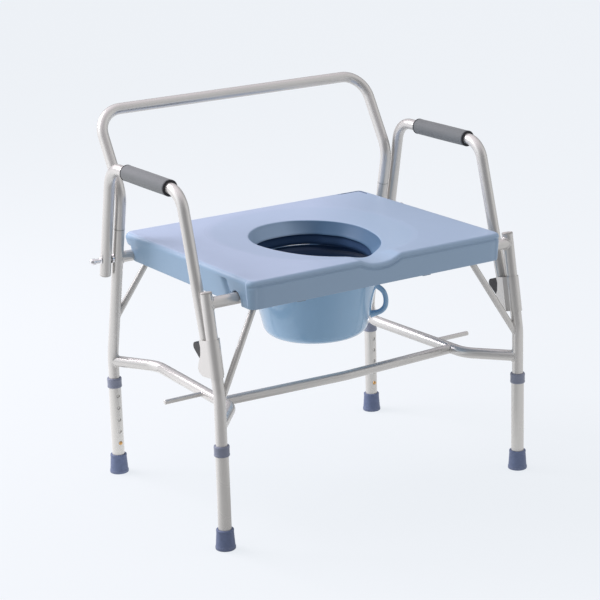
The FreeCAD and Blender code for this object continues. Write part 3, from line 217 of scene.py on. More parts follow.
def plastic_material(name, base, rough=0.45, grain=1400.0, grain_depth=0.00012, grain_strength=0.25, coat=0.0,
                     coat_rough=0.1, spec=0.5, cloud_amount=0.05, edge_light=1.12, sss=0.0, scratch=0.04, painted_sheen=None, wear_lo=0.06, painted_shade_facing=None, facing_from=-0.1, facing_to=-0.75):
    """Moulded plastic: flow clouding, moulded grain, faint rub marks, paler edges; optionally a painted sheen on upward
    faces and painted shade on faces that look to -X.
    """
    m = Mat(name)
    cloud = m.noise(9.0, 4.0, 0.6, dist=0.4)
    t = m.maprange(cloud, 0.3, 0.7, 0.0, 1.0)
    a = tuple(v * (1 - cloud_amount) for v in base[:3]) + (1.0,)
    b = tuple(min(1.0, v * (1 + cloud_amount)) for v in base[:3]) + (1.0,)
    col = m.mix(t, a, b)
    if painted_sheen is not None:
        # painted sheen: upward faces are tinted lighter, fading out towards one side, and the raised deck is lightened
        # a little more
        geo = m.node("ShaderNodeNewGeometry")
        nz = m.node("ShaderNodeSeparateXYZ")
        m.link(geo.outputs["Normal"], nz.inputs[0])
        up_face = m.maprange(nz.outputs["Z"], 0.80, 0.985, 0.0, 1.0)
        pos = m.node("ShaderNodeSeparateXYZ")
        m.link(m.coord.outputs["Object"], pos.inputs[0])
        across = m.math("SUBTRACT", pos.outputs["X"], m.math("MULTIPLY", pos.outputs["Y"], 0.7))
        side = m.maprange(across, 0.0, 0.16, 1.0, 0.0)
        tint = m.mix(side, painted_sheen[1], painted_sheen[0])
        tint = m.mix(up_face, (1.0, 1.0, 1.0, 1.0), tint)
        raised = m.maprange(pos.outputs["Z"], 0.5086, 0.5097, 0.0, 1.0)
        tint = m.mix(raised, tint, (1.06, 1.03, 1.03, 1.0), blend="MULTIPLY")
        col = m.mix(1.0, col, tint, blend="MULTIPLY")
    if painted_shade_facing is not None:
        # painted shade: darker tone on the faces that look to -X
        geo2 = m.node("ShaderNodeNewGeometry")
        nx = m.node("ShaderNodeSeparateXYZ")
        m.link(geo2.outputs["Normal"], nx.inputs[0])
        f = m.maprange(nx.outputs["X"], facing_from, facing_to, 0.0, 1.0)
        k = painted_shade_facing
        col = m.mix(m.mix(f, (0, 0, 0, 1), (1, 1, 1, 1)), col, tuple(v * q for v, q in zip(base[:3], k)) + (1.0,))
    e = m.edge(0.0012, wear_lo, 0.45)
    rub = m.noise(300.0, 4.0, 0.7)
    wear = m.math("MULTIPLY", e, m.maprange(rub, 0.4, 0.65, 0.0, 0.6))
    col = m.mix(wear, col, tuple(min(1.0, v * edge_light + 0.02) for v in base[:3]) + (1.0,))
    m.link(col, m.bsdf.inputs["Base Color"])
    streak = m.noise(30.0, 6.0, 0.75, vector=m.mapping((1.0, 9.0, 1.0), (0.2, 0.1, 0.6)))
    r = m.maprange(streak, 0.35, 0.7, rough - scratch, rough + scratch)
    m.link(r, m.bsdf.inputs["Roughness"])
    m.set("Specular IOR Level", spec)
    m.set("Coat Weight", coat)
    m.set("Coat Roughness", coat_rough)
    if sss:
        m.set("Subsurface Weight", sss)
        m.set("Subsurface Radius", (0.004, 0.005, 0.008))
        m.set("Subsurface Scale", 0.6)
    m.bump(m.noise(grain, 3.0, 0.6), grain_strength, grain_depth)
    m.bump(m.noise(38.0, 2.0, 0.5), 0.05, 0.0008)
    return m.mat


def metal_material(name, base, rough=0.2, aniso_scale=(1, 1, 1), tarnish=(0.35, 0.33, 0.3, 1.0), tarnish_amount=0.12):
    m = Mat(name)
    n = m.noise(45.0, 5.0, 0.65, dist=0.3)
    t = m.maprange(n, 0.48, 0.75, 0.0, tarnish_amount)
    col = m.mix(t, base, tarnish)
    e = m.edge(0.0006)
    col = m.mix(m.math("MULTIPLY", e, 0.5), col, tuple(min(1.0, v * 1.2) for v in base[:3]) + (1.0,))
    m.link(col, m.bsdf.inputs["Base Color"])
    m.set("Metallic", 1.0)
    lines = m.noise(180.0, 6.0, 0.8, vector=m.mapping(aniso_scale))
    m.link(m.maprange(lines, 0.3, 0.7, rough * 0.7, rough * 1.5), m.bsdf.inputs["Roughness"])
    m.bump(lines, 0.06, 0.0001)
    return m.mat


def rubber_material(name, base, rough=0.62):
    m = Mat(name)
    c = m.noise(120.0, 4.0, 0.6)
    col = m.mix(m.maprange(c, 0.3, 0.7, 0.0, 1.0), tuple(v * 0.9 for v in base[:3]) + (1.0,), tuple(v * 1.1 for v in base[:3]) + (1.0,))
    # dusty scuffs low down, where the foot meets the floor
    z = m.height()
    low = m.maprange(z, 0.0, 0.012, 1.0, 0.0)
    scuff = m.math("MULTIPLY", low, m.maprange(m.noise(420.0, 4.0, 0.7), 0.45, 0.7, 0.0, 0.55))
    col = m.mix(scuff, col, lin(150, 152, 160))
    e = m.edge(0.0012)
    col = m.mix(m.math("MULTIPLY", e, 0.3), col, tuple(min(1.0, v * 1.35) for v in base[:3]) + (1.0,))
    m.link(col, m.bsdf.inputs["Base Color"])
    m.link(m.maprange(m.noise(90.0), 0.3, 0.7, rough - 0.08, rough + 0.1), m.bsdf.inputs["Roughness"])
    m.set("Specular IOR Level", 0.35)
    m.set("Sheen Weight", 0.15)
    m.bump(m.noise(1100.0, 3.0, 0.6), 0.3, 0.00015)
    return m.mat


def foam_material(name, base):
    m = Mat(name)
    cells = m.voronoi(900.0)
    c = m.noise(25.0, 4.0, 0.6)
    col = m.mix(m.maprange(c, 0.3, 0.7, 0.0, 1.0), tuple(v * 0.9 for v in base[:3]) + (1.0,), tuple(v * 1.08 for v in base[:3]) + (1.0,))
    pits = m.maprange(cells, 0.0, 0.55, 0.86, 1.0)
    mul = m.node("ShaderNodeMix", data_type="RGBA", blend_type="MULTIPLY")
    mul.inputs[0].default_value = 1.0
    m.link(col, mul.inputs[6])
    m.link(pits, mul.inputs[7])
    m.link(mul.outputs[2], m.bsdf.inputs["Base Color"])
    m.link(m.maprange(c, 0.3, 0.7, 0.62, 0.8), m.bsdf.inputs["Roughness"])
    m.set("Specular IOR Level", 0.35)
    m.set("Sheen Weight", 0.25)
    m.set("Sheen Roughness", 0.4)
    m.bump(cells, 0.35, 0.00025)
    m.bump(m.noise(160.0, 3.0, 0.6), 0.15, 0.0006)
    return m.mat


PAINT = paint_material("frame_powder_coat", lin(210, 208, 204), lin(218, 216, 213), metallic=0.50, rough=0.25)
PAINT_EXT = paint_material("extension_powder_coat", lin(215, 213, 208), lin(219, 217, 214), metallic=0.45, rough=0.28)
# seat plastic: its own blue, plus a painted sheen on the upward faces and painted shade on faces that look to -X
SEAT = plastic_material("seat_blow_moulded", lin(150, 174, 198), rough=0.42, grain=1500.0, grain_depth=0.00006,
                        grain_strength=0.10, spec=0.36, cloud_amount=0.012, wear_lo=0.13, sss=0.0, scratch=0.03,
                        painted_sheen=((1.25, 1.12, 1.09, 1.0), (1.02, 0.985, 0.965, 1.0)),
                        painted_shade_facing=(0.80, 0.85, 0.86), facing_from=-0.35, facing_to=-0.9)
# copy of the seat plastic for the opening's sloping wall, with strong painted shade on the faces that look to -X
SEAT_WALL_PAINTED_SHADE = plastic_material("seat_wall_painted_shade", lin(151, 176, 201), rough=0.5, grain=1500.0, grain_depth=0.00006,
                             grain_strength=0.10, spec=0.25, cloud_amount=0.02, scratch=0.03, wear_lo=0.13, painted_shade_facing=(0.22, 0.33, 0.42))
# dark copy of the seat plastic: painted shade for the ring's inside below the lip, the L-seam and the tube channel
# walls
SEAT_PAINTED_SHADE = plastic_material("seat_inside_painted_shade", lin(52, 78, 112), rough=0.5, grain=1500.0, grain_depth=0.00010,
                             grain_strength=0.18, spec=0.3, cloud_amount=0.04, scratch=0.05)
PAIL = plastic_material("pail_glossy", lin(147, 187, 220), rough=0.16, grain=260.0, grain_depth=0.00008,
                        grain_strength=0.05, coat=0.6, coat_rough=0.06, spec=0.5, cloud_amount=0.03, scratch=0.03)
# dark copy of the pail plastic: painted shade for the pail's inside
PAIL_PAINTED_SHADE = plastic_material("pail_inside", lin(38, 62, 94), rough=0.4, grain=260.0, grain_depth=0.00008,
                             grain_strength=0.05, spec=0.25, cloud_amount=0.05, scratch=0.05)
# dark rubber for the backrest seals, also used as painted shade for the grip end rings
DARK = rubber_material("dark_seal_and_painted_shade", lin(48, 49, 53), 0.7)
RUBBER = rubber_material("foot_rubber", lin(100, 112, 142))
COLLAR = plastic_material("collar_moulded", lin(128, 134, 152), rough=0.42, grain=1700.0)
GRIP = foam_material("grip_foam", lin(106, 110, 111))
LEVER = plastic_material("lever_black", lin(26, 26, 29), rough=0.38, grain=1300.0, grain_strength=0.35, edge_light=1.8)
CHROME = metal_material("plated_steel", (0.80, 0.80, 0.82, 1.0), 0.16)
SPRING = metal_material("spring_wire", (0.48, 0.48, 0.50, 1.0), 0.3)
BRASS = metal_material("polished_brass", (0.66, 0.40, 0.17, 1.0), 0.22, tarnish=(0.35, 0.2, 0.07, 1.0), tarnish_amount=0.4)
CLIP = plastic_material("clip_moulded", lin(222, 224, 228), rough=0.4, grain=1600.0)
CAP = plastic_material("cap_moulded", lin(176, 173, 168), rough=0.45, grain=1700.0)

SLOT_MATERIAL = {
    "frame_paint": PAINT, "extension_paint": PAINT_EXT, "cap_plastic": CAP, "bright_steel": CHROME,
    "spring_steel": SPRING, "foot_rubber": RUBBER, "collar_plastic": COLLAR, "button_brass": BRASS,
    "grip_foam": GRIP, "lever_plastic": LEVER, "seat_plastic": SEAT, "clip_plastic": CLIP, "pail_plastic": PAIL,
}
SLOT_OF = {p["node"]: p["material_slot"] for p in frame["record"]["subparts"]}
RAIL = paint_material("rail_coat", lin(120, 140, 160), lin(170, 175, 180), metallic=0.1, rough=0.45)
for name, obj in NODES.items():
    material = SLOT_MATERIAL[SLOT_OF[name]] if "pail_rail" not in name else RAIL
    obj.data.materials.clear()
    obj.data.materials.append(material)


# =====================================================================================
# mesh helpers (all in millimetres, turned to metres when the object is made)
# =====================================================================================
def make(name, verts, faces, material, smooth=True, angle=None):
    v = np.asarray(verts, float) * MM
    me = bpy.data.meshes.new(name)
    me.from_pydata([tuple(p) for p in v], [], [tuple(int(i) for i in f) for f in faces])
    me.validate()
    me.update()
    me.materials.append(material)
    if smooth:
        for p in me.polygons:
            p.use_smooth = True
    ob = bpy.data.objects.new(name, me)
    bpy.context.scene.collection.objects.link(ob)
    if angle is not None:
        # mark edges sharper than the angle so that flats stay flat
        import bmesh
        bm = bmesh.new()
        bm.from_mesh(me)
        for e in bm.edges:
            if len(e.link_faces) == 2 and e.calc_face_angle(0.0) > math.radians(angle):
                e.smooth = False
        bm.to_mesh(me)
        bm.free()
    return ob


def rings_mesh(rings, closed_section=True):
    """rings: list of (n,3) loops. Quads between neighbours, and between last and first if the section closes."""
    n = len(rings[0])
    verts = np.concatenate(rings, 0)
    faces = []
    m = len(rings)
    last = m if closed_section else m - 1
    for j in range(last):
        a = j * n
        b = ((j + 1) % m) * n
        for k in range(n):
            k2 = (k + 1) % n
            faces.append((a + k, a + k2, b + k2, b + k))
    return verts, faces


def fillet_profile(points, radii, steps=5):
    """Rounds the corners of an open polyline of (r, z) points; radii has one entry per inner point."""
    out = [np.array(points[0], float)]
    for i in range(1, len(points) - 1):
        p0, p1, p2 = (np.array(points[i - 1], float), np.array(points[i], float), np.array(points[i + 1], float))
        r = radii[i - 1]
        if r <= 0:
            out.append(p1)
            continue
        u = (p0 - p1)
        w = (p2 - p1)
        lu, lw = np.linalg.norm(u), np.linalg.norm(w)
        u /= lu
        w /= lw
        c = max(-1.0, min(0.99999, float(u @ w)))
        if c < -0.9995:
            out.append(p1)
            continue
        half = math.acos(c) / 2
        t = min(r / math.tan(half), lu * 0.49, lw * 0.49)
        r = t * math.tan(half)
        a = p1 + u * t
        b = p1 + w * t
        bis = (u + w) / np.linalg.norm(u + w)
        cen = p1 + bis * (r / math.sin(half))
        va, vb = a - cen, b - cen
        ang = math.acos(max(-1, min(1, float(va @ vb) / (r * r))))
        for k in range(steps + 1):
            f = k / steps
            v = (va * math.sin((1 - f) * ang) + vb * math.sin(f * ang)) / max(math.sin(ang), 1e-9)
            out.append(cen + v)
    out.append(np.array(points[-1], float))
    return out


def basis(direction):
    d = np.array(direction, float)
    d /= np.linalg.norm(d)
    ref = np.array([0, 0, 1.0]) if abs(d[2]) < 0.9 else np.array([1.0, 0, 0])
    e1 = np.cross(ref, d)
    e1 /= np.linalg.norm(e1)
    e2 = np.cross(d, e1)
    return e1, e2, d


def lathe(profile, origin, axis, segs=64):
    """Turned body from (r, h) points. r=0 ends close to a point; otherwise the section must close on itself."""
    e1, e2, d = basis(axis)
    o = np.array(origin, float)
    verts, faces = [], []
    rows = []
    for r, h in profile:
        if r < 1e-6:
            rows.append([len(verts)])
            verts.append(o + d * h)
        else:
            rows.append(list(range(len(verts), len(verts) + segs)))
            for k in range(segs):
                a = 2 * math.pi * k / segs
                verts.append(o + d * h + (e1 * math.cos(a) + e2 * math.sin(a)) * r)
    pairs = list(zip(rows[:-1], rows[1:]))
    if len(rows[0]) > 1 and len(rows[-1]) > 1:
        pairs.append((rows[-1], rows[0]))
    for a, b in pairs:
        for k in range(segs):
            k2 = (k + 1) % segs
            if len(a) == 1 and len(b) == 1:
                continue
            if len(a) == 1:
                faces.append((a[0], b[k2], b[k]))
            elif len(b) == 1:
                faces.append((a[k], a[k2], b[0]))
            else:
                faces.append((a[k], a[k2], b[k2], b[k]))
    return np.array(verts), faces


def join_parts(parts):
    verts, faces, base = [], [], 0
    for v, f in parts:
        verts.append(np.asarray(v, float))
        faces += [tuple(i + base for i in q) for q in f]
        base += len(v)
    return np.concatenate(verts, 0), faces


def fix_normals(ob):
    import bmesh
    bm = bmesh.new()
    bm.from_mesh(ob.data)
    bmesh.ops.recalc_face_normals(bm, faces=bm.faces)
    bm.to_mesh(ob.data)
    bm.free()


def smoothstep(a, b, x):
    t = np.clip((np.asarray(x, float) - a) / (b - a), 0.0, 1.0)
    return t * t * (3 - 2 * t)


# =====================================================================================
# seat panel
# =====================================================================================
S_HALF, S_FRONT, S_BACK, S_TOP, S_SKIRT, S_R, S_DRAFT = 289.0, -266.0, 222.0, 510.0, 455.0, 18.0, 4.0
CENTRE = np.array([0.0, -50.0])
RIM_HALF = [(0, 113.4), (35, 108.0), (62, 92.5), (85.4, 70.0), (106.9, 35.0), (116.8, 0.0), (117.6, -35.0), (112.3, -70.0),
            (100.6, -110.0), (80.3, -150.0), (64.7, -170.0), (47.2, -187.0), (24.0, -204.0), (0, -211.0)]
THROAT_HALF = [(0, 95.0), (35, 91.0), (66, 75.0), (87, 46.0), (100, 21.0), (104.5, -12.0), (102.5, -50.0), (92, -88.0),
               (76, -122.0), (58, -152.0), (42, -175.0), (28, -192.0), (14, -203.0), (0, -208.0)]


def closed_spline(half, per=24):
    """Centripetal-like Catmull-Rom through the half outline and its mirror image."""
    loop = [np.array(p, float) for p in half] + [np.array((-x, y), float) for x, y in reversed(half[1:-1])]
    n = len(loop)
    out = []
    for i in range(n):
        p0, p1, p2, p3 = loop[i - 1], loop[i], loop[(i + 1) % n], loop[(i + 2) % n]
        d1, d2, d0 = np.linalg.norm(p2 - p1), np.linalg.norm(p3 - p2), np.linalg.norm(p1 - p0)
        m1 = (p2 - p1) * 1.0 / d1 * 1.0
        m1 = ((p1 - p0) / d0 * d1 + (p2 - p1) / d1 * d0) / (d0 + d1)
        m2 = ((p2 - p1) / d1 * d2 + (p3 - p2) / d2 * d1) / (d1 + d2)
        for k in range(per):
            t = k / per
            h00, h10, h01, h11 = 2 * t**3 - 3 * t**2 + 1, t**3 - 2 * t**2 + t, -2 * t**3 + 3 * t**2, t**3 - t**2
            out.append(h00 * p1 + h10 * m1 * d1 + h01 * p2 + h11 * m2 * d1)
    return np.array(out)


def polar_curve(points):
    """Radius as a function of angle about the seat opening's centre, for a star-shaped closed curve."""
    d = points - CENTRE
    ang = np.arctan2(d[:, 1], d[:, 0])
    rad = np.linalg.norm(d, axis=1)
    order = np.argsort(ang)
    ang, rad = ang[order], rad[order]
    ang = np.concatenate([ang - 2 * np.pi, ang, ang + 2 * np.pi])
    rad = np.concatenate([rad, rad, rad])
    return lambda a: np.interp(a, ang, rad)


def build_seat():
    # columns round the outline: core point, outward normal
    core, normal = [], []

    def side(p, q, nrm, stations):
        for s in stations:
            core.append((p[0] + (q[0] - p[0]) * s, p[1] + (q[1] - p[1]) * s))
            normal.append(nrm)

    cx, y0, y1 = S_HALF - S_R, S_FRONT + S_R, S_BACK - S_R
    # front, left to right
    xs = list(np.arange(-cx, -64, 8.0)) + list(np.arange(-62, 62.1, 2.5)) + [x for x in np.arange(66, cx, 8.0)]
    for x in xs:
        core.append((x, y0)); normal.append((0, -1))

    def corner(c, a0, steps=14):
        for k in range(steps):
            a = math.radians(a0 + 90.0 * k / steps)
            core.append(c); normal.append((math.cos(a), math.sin(a)))

    corner((cx, y0), -90)
    side_y = [y0, -244.5, -241, -237.5, -234, -231.5, -229, -227, -225.4, -225.0, -224.2, -222.6, -220, -217, -213.5, -210.5, -208, -205.5, -202.5, -199, -196, -193.4,
              -191.8, -191.0, -190.6, -189, -187, -185, -183, -181, -179, -177, -175, -173, -171, -169, -167, -165, -163, -161, -158,
              -155, -151] + list(np.arange(-145, 160, 8.0)) + [165, 172, 177, 180.5, 183.0, 184.8, 186.6, 188.6, 190.8, 193.2, 196, 199, 202]
    for y in side_y:
        core.append((cx, y)); normal.append((1, 0))
    corner((cx, y1), 0, 16)
    rx = list(np.arange(cx, 226, -3.0)) + list(np.arange(224, -226, -8.0)) + list(np.arange(-227, -cx, -5.0))
    for x in rx:
        core.append((x, y1)); normal.append((0, 1))
    corner((-cx, y1), 90, 16)
    for y in reversed(side_y):
        core.append((-cx, y)); normal.append((-1, 0))
    corner((-cx, y0), 180)
    core, normal = np.array(core, float), np.array(normal, float)
    n = len(core)

    def outline(inset, z=None):
        """The outer line moved in by inset; below the deck the skirt also draws in with its draft."""
        inset = np.broadcast_to(inset, (n,))
        if z is not None:
            inset = inset + S_DRAFT * (S_TOP - np.asarray(z)) / (S_TOP - S_SKIRT)
        return core + normal * (S_R - inset)[:, None]

    edge = outline(0.0)
    phi = np.arctan2(edge[:, 1] - CENTRE[1], edge[:, 0] - CENTRE[0])
    ray = np.stack([np.cos(phi), np.sin(phi)], 1)
    rim_curve, throat_curve = closed_spline(RIM_HALF), closed_spline(THROAT_HALF)
    f_rim, f_throat = polar_curve(rim_curve), polar_curve(throat_curve)
    r_rim, r_throat = f_rim(phi), f_throat(phi)
    # the shallow dish round the opening, almost as wide as the deck is deep
    t = np.linspace(0, 2 * np.pi, 721)[:-1]
    cs, sn = np.cos(t), np.sin(t)
    dish = np.stack([193 * np.sign(cs) * np.abs(cs) ** (2 / 2.35), -22 + 217 * np.sign(sn) * np.abs(sn) ** (2 / 2.35)], 1)
    r_dish = polar_curve(dish)(phi)
    # keep the dish inside the deck's flat
    flat_in = outline(16.0)
    r_flat = np.linalg.norm(flat_in - CENTRE, axis=1)
    r_dish = np.minimum(r_dish, r_flat - 6.0)

    ex, ey = edge[:, 0], edge[:, 1]
    side_like = np.abs(normal[:, 0])
    rearness = smoothstep(183.0, 200.0, ey) * smoothstep(-0.05, 0.25, normal[:, 1] + (ey > 188) * 0.3)
    rearness = smoothstep(183.0, 197.0, ey)

    def channel(x, y):
        """Floor height of the open channel at the front, very high outside it."""
        u = np.abs(x) / 47.0
        floor = 498.4 + 12.6 * u ** 2.3
        fade = smoothstep(-196.0, -150.0, y) * 60.0
        return floor + fade

    def smin(a, b, k):
        h = np.clip(0.5 + 0.5 * (b - a) / k, 0, 1)
        return b * (1 - h) + a * h - k * h * (1 - h)

    RIM_Z = 502.2
    rings = []

    def add(xy, z):
        rings.append(np.concatenate([xy, np.broadcast_to(z, (n,))[:, None]], 1))

    def at(r):
        return CENTRE + ray * np.asarray(r)[:, None]

    def lowered(xy, z):
        """Applies the front channel to a surface height."""
        return smin(z, channel(xy[:, 0], xy[:, 1]), 3.0)

    front_end = smoothstep(-165.0, -190.0, at(r_throat)[:, 1])
    ring_bottom = 453.8 + (482.5 - 453.8) * front_end
    lip = 474.5 + (484.5 - 474.5) * front_end
    # A: inner face of the ring below the lip, set back a little
    for f in (0.0, 0.35, 0.7, 1.0):
        add(at(r_throat + 3.0), ring_bottom + (lip - 0.8 - ring_bottom) * f)
    add(at(r_throat + 2.4), lip - 0.2)
    add(at(r_throat + 0.9), lip)
    add(at(r_throat + 0.1), lip + 0.5)
    # B: sloping wall
    rim_local = lowered(at(r_rim), np.full(n, RIM_Z))
    wall0, wall1 = lip + 1.2, rim_local - 3.2
    for f in np.linspace(0, 1, 8):
        g = f ** 0.9
        add(at(r_throat + (r_rim - 1.2 - r_throat) * g), wall0 + (wall1 - wall0) * f)
    # C: rim rounding
    for a in (22, 45, 66, 84):
        s, c = math.sin(math.radians(a)), math.cos(math.radians(a))
        add(at(r_rim - 1.2 + 4.4 * (1 - c)), wall1 + 3.1 * s)
    # D: dish
    for f in (0.045, 0.09, 0.15, 0.22, 0.30, 0.39, 0.48, 0.57, 0.66, 0.74, 0.81, 0.87, 0.91, 0.94, 0.965, 0.985, 1.0, 1.02):
        r0 = r_rim + 3.2
        r = r0 + (r_dish - r0) * f
        xy = at(r)
        # straight slope, rounded over at the outer edge of the dish
        x = f / 0.94
        rise = np.clip(x, 0, 1)
        h = (S_TOP - 0.1 - RIM_Z) * np.where(x < 1, rise, 1.0)
        k = 0.05
        h = (S_TOP - RIM_Z) * (x - k * np.log1p(np.exp((x - 1) / k))) if f < 1.03 else S_TOP - RIM_Z
        if f >= 1.0:
            h = (S_TOP - RIM_Z) * 0.999
        add(xy, lowered(xy, np.full(n, RIM_Z + h)))
    # E: flat, blending from the dish edge to rings that follow the outline
    inner = at(r_dish * 1.0 + (np.linalg.norm(flat_in - CENTRE, axis=1) - r_dish) * 0.0)
    outer = outline(17.2)
    base = at(r_rim + 3.2 + (r_dish - r_rim - 3.2) * 1.02)
    for f in (0.3, 0.6, 0.85, 1.0):
        xy = base + (outer - base) * f
        add(xy, lowered(xy, np.full(n, S_TOP)))
    # short L-shaped seam in the right rear corner
    along_back = smoothstep(222.0, 226.0, ex) * (ey > S_BACK - 0.5)
    along_side = smoothstep(176.0, 180.0, ey) * (ex > S_HALF - 0.5)
    in_corner = ((ex > cx) & (ey > y1)).astype(float)
    seam = np.clip(np.maximum(np.maximum(along_back, along_side), in_corner), 0, 1)
    seam_row = len(rings)
    for inset, depth in ((16.6, 0.0), (16.4, 2.0), (15.5, 2.9), (14.2, 3.0), (13.2, 2.8), (12.8, 1.6), (12.4, 0.0)):
        xy = outline(inset)
        add(xy, lowered(xy, np.full(n, S_TOP)) - depth * seam)
    # F: top edge round, larger at the rear nose
    r_top = 7.6 + 4.4 * rearness
    top_z = lowered(outline(9.0), np.full(n, S_TOP))
    neck_mask = 1.0 - rearness
    # a shallow upright hollow at each end of the front panel
    on_front = ey < S_FRONT + 0.5
    turned = np.arctan2(np.abs(normal[:, 0]), np.maximum(-normal[:, 1], 1e-9)) * S_R
    along = np.where(on_front & (np.abs(ex) <= cx), np.abs(ex) - cx, turned)
    hollow = np.where(ey < y0 + 0.01, 1.9 * np.exp(-((along - 1.0) / 4.2) ** 2), 0.0)
    frontness = np.where(ey < y0 + 0.01, np.clip(-normal[:, 1], 0, 1) ** 1.5, 0.0)
    r_top = r_top + 3.4 * (1.0 - frontness) * neck_mask
    for a in (0, 10, 20, 31, 42, 53, 64, 75, 84, 90):
        s, c = math.sin(math.radians(a)), math.cos(math.radians(a))
        xy = outline(r_top * (1 - s), S_TOP - r_top * (1 - c) * neck_mask)
        add(xy, top_z - r_top * (1 - c))
    edge_z = top_z - r_top
    # bottom edge of the skirt
    ys = ey
    arch = 465.0 + np.sqrt(np.clip(17.0**2 - (ys + 208.0) ** 2, 0, None))
    on_side = (side_like > 0.999)
    in_arch = on_side & (ys >= -225.05) & (ys <= -190.95)
    zb = np.where(in_arch, arch, S_SKIRT)
    zb = zb + (482.0 - S_SKIRT) * smoothstep(183.0, 195.0, ys)
    # G, H: shallow neck under the edge, then the skirt
    neck = 1.0 - rearness
    skirt_levels = [(-1.2, 0.9), (-2.6, 1.9), (-4.0, 2.5), (-4.8, 2.5), (-5.9, 1.4), (-7.0, 0.3), (-8.4, 0.0)]

    def groove(y, z):
        """Soft valley in each side skirt that runs down to the recess for the front tube."""
        yc = -166.0 - (503.0 - z) * 0.52
        g = np.exp(-((y - yc) / 7.5) ** 2) * smoothstep(507.0, 495.0, z) * smoothstep(454.0, 464.0, z)
        return 6.6 * g

    rv = 1.8 + 11.2 * rearness          # vertical size of the bottom round
    rh = 1.6 + 5.4 * rearness           # horizontal size of the bottom round
    avail = edge_z - (zb + rv)
    for dz, inset in skirt_levels:
        frac = -dz / 8.4 * np.minimum(8.4, avail * 0.55)
        z = edge_z - frac
        g = np.where(on_side, groove(ey, z), 0.0) + hollow * smoothstep(0.0, 6.0, frac)
        add(outline(inset * frontness * neck * np.clip(avail / 30.0, 0, 1) + g, z), z)
    z_a = edge_z - np.minimum(8.4, avail * 0.55)
    z_b = zb + rv
    for f in (0.12, 0.25, 0.38, 0.5, 0.62, 0.74, 0.86, 1.0):
        z = z_a + (z_b - z_a) * f
        g = np.where(on_side, groove(ey, z), 0.0) + hollow
        add(outline(g, z), z)
    # I: bottom round
    g_b = np.where(on_side, groove(ey, z_b), 0.0) + hollow
    for a in (25, 50, 72, 90):
        s, c = math.sin(math.radians(a)), math.cos(math.radians(a))
        add(outline(np.maximum(rh * (1 - c), g_b), z_b - rv * s), z_b - rv * s)
    t_in = 8.0 + 4.0 * rearness
    for a in (0, 45, 90):
        s, c = math.sin(math.radians(a)), math.cos(math.radians(a))
        add(outline(t_in - 1.2 + 1.2 * s), zb + 1.2 * (1 - c))
    # J: inner face of the skirt
    deck_under = S_TOP - 4.0
    for f in (0.2, 0.45, 0.7, 0.9):
        add(outline(t_in), zb + 1.2 + (deck_under - 4.0 - zb - 1.2) * f)
    for a in (0, 30, 60, 90):
        s, c = math.sin(math.radians(a)), math.cos(math.radians(a))
        xy = outline(t_in + 4.0 * (1 - c))
        under = lowered(xy, np.full(n, S_TOP)) - 4.0
        add(xy, np.minimum(deck_under - 4.0 + 4.0 * s, under))
    # K: underside of the deck
    a_xy = outline(t_in + 4.0)
    b_xy = at(r_rim + 7.5)
    for f in (0.1, 0.2, 0.32, 0.45, 0.58, 0.7, 0.8, 0.88, 0.94, 1.0):
        xy = a_xy + (b_xy - a_xy) * f
        rr = np.linalg.norm(xy - CENTRE, axis=1)
        x = (rr - r_rim - 3.2) / (r_dish - r_rim - 3.2)
        h = np.clip(x / 0.94, 0, 1) * (S_TOP - RIM_Z)
        top = lowered(xy, RIM_Z + h)
        add(xy, top - 4.0)
    # L: outer face of the ring
    z_u = rings[-1][:, 2]
    for f in (0.03, 0.1, 0.3, 0.55, 0.8, 0.95):
        add(at(r_rim + 7.5 - 1.8 * smoothstep(0, 0.1, f)), z_u + (ring_bottom - z_u) * f)
    # M: bottom of the ring
    add(at(r_rim + 4.6), ring_bottom - 0.0)
    add(at((r_rim + 4.6) * 0.5 + (r_throat + 4.0) * 0.5), ring_bottom - 0.4)
    add(at(r_throat + 4.0), ring_bottom - 0.3)
    verts, faces = rings_mesh(rings, True)
    # painted shade: these first six bands, the ring's inside below the lip, take the dark seat colour
    shade_bands = 6 * n                      # the first six bands are the inside of the ring, below the lip
    parts = [(verts, faces)]
    # moulded channel walls where the front tube passes under each side
    for s in (-1.0, 1.0):
        sec = [(-230.0, 470.0), (-230.0, 503.0), (-186.0, 503.0), (-186.0, 470.0), (-191.0, 468.0)]
        sec += [(-208.0 + 17.0 * math.cos(math.radians(a)), 465.0 + 17.0 * math.sin(math.radians(a))) for a in range(10, 171, 10)]
        sec += [(-225.0, 468.0)]
        xs2 = np.array([284.2, 283.0, 272.0, 256.0, 246.5, 245.0])
        rr2 = []
        cy2, cz2 = -208.0, 485.0
        for x2 in xs2:
            k2 = 0.985 if x2 in (284.2, 245.0) else 1.0
            rr2.append(np.array([(s * x2, cy2 + (y - cy2) * k2, cz2 + (z - cz2) * k2) for y, z in sec]))
        v2, f2 = rings_mesh(rr2, False)
        m2 = len(sec)
        cap = [tuple(range(m2)), tuple((len(xs2) - 1) * m2 + k for k in range(m2 - 1, -1, -1))]
        parts.append((v2, f2 + cap))
    verts, faces = join_parts(parts)
    ob = make("seat_panel_moulded", verts, faces, SEAT)
    ob.data.materials.append(SEAT_PAINTED_SHADE)
    total = len(ob.data.polygons)
    first = len(parts[0][1])
    ob.data.materials.append(SEAT_WALL_PAINTED_SHADE)
    for i, poly in enumerate(ob.data.polygons):
        band, column = divmod(i, n)
        # painted shade: the ring's inside, the tube channel walls and the L-seam take the dark seat colour
        if i < shade_bands or i >= first:
            poly.material_index = 1
        elif seam_row <= band < seam_row + 6 and seam[column] > 0.5 and seam[(column + 1) % n] > 0.5:
            poly.material_index = 1
        # the sloping wall takes the wall copy with painted shade
        elif 6 <= band < 16:
            poly.material_index = 2
    fix_normals(ob)
    return ob


seat = build_seat()
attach(seat, "seat")
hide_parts("seat_panel")


# =====================================================================================
# pail
# =====================================================================================
PAIL_Y, PAIL_RIM, PAIL_Z = -32.7, 146.0, 450.0


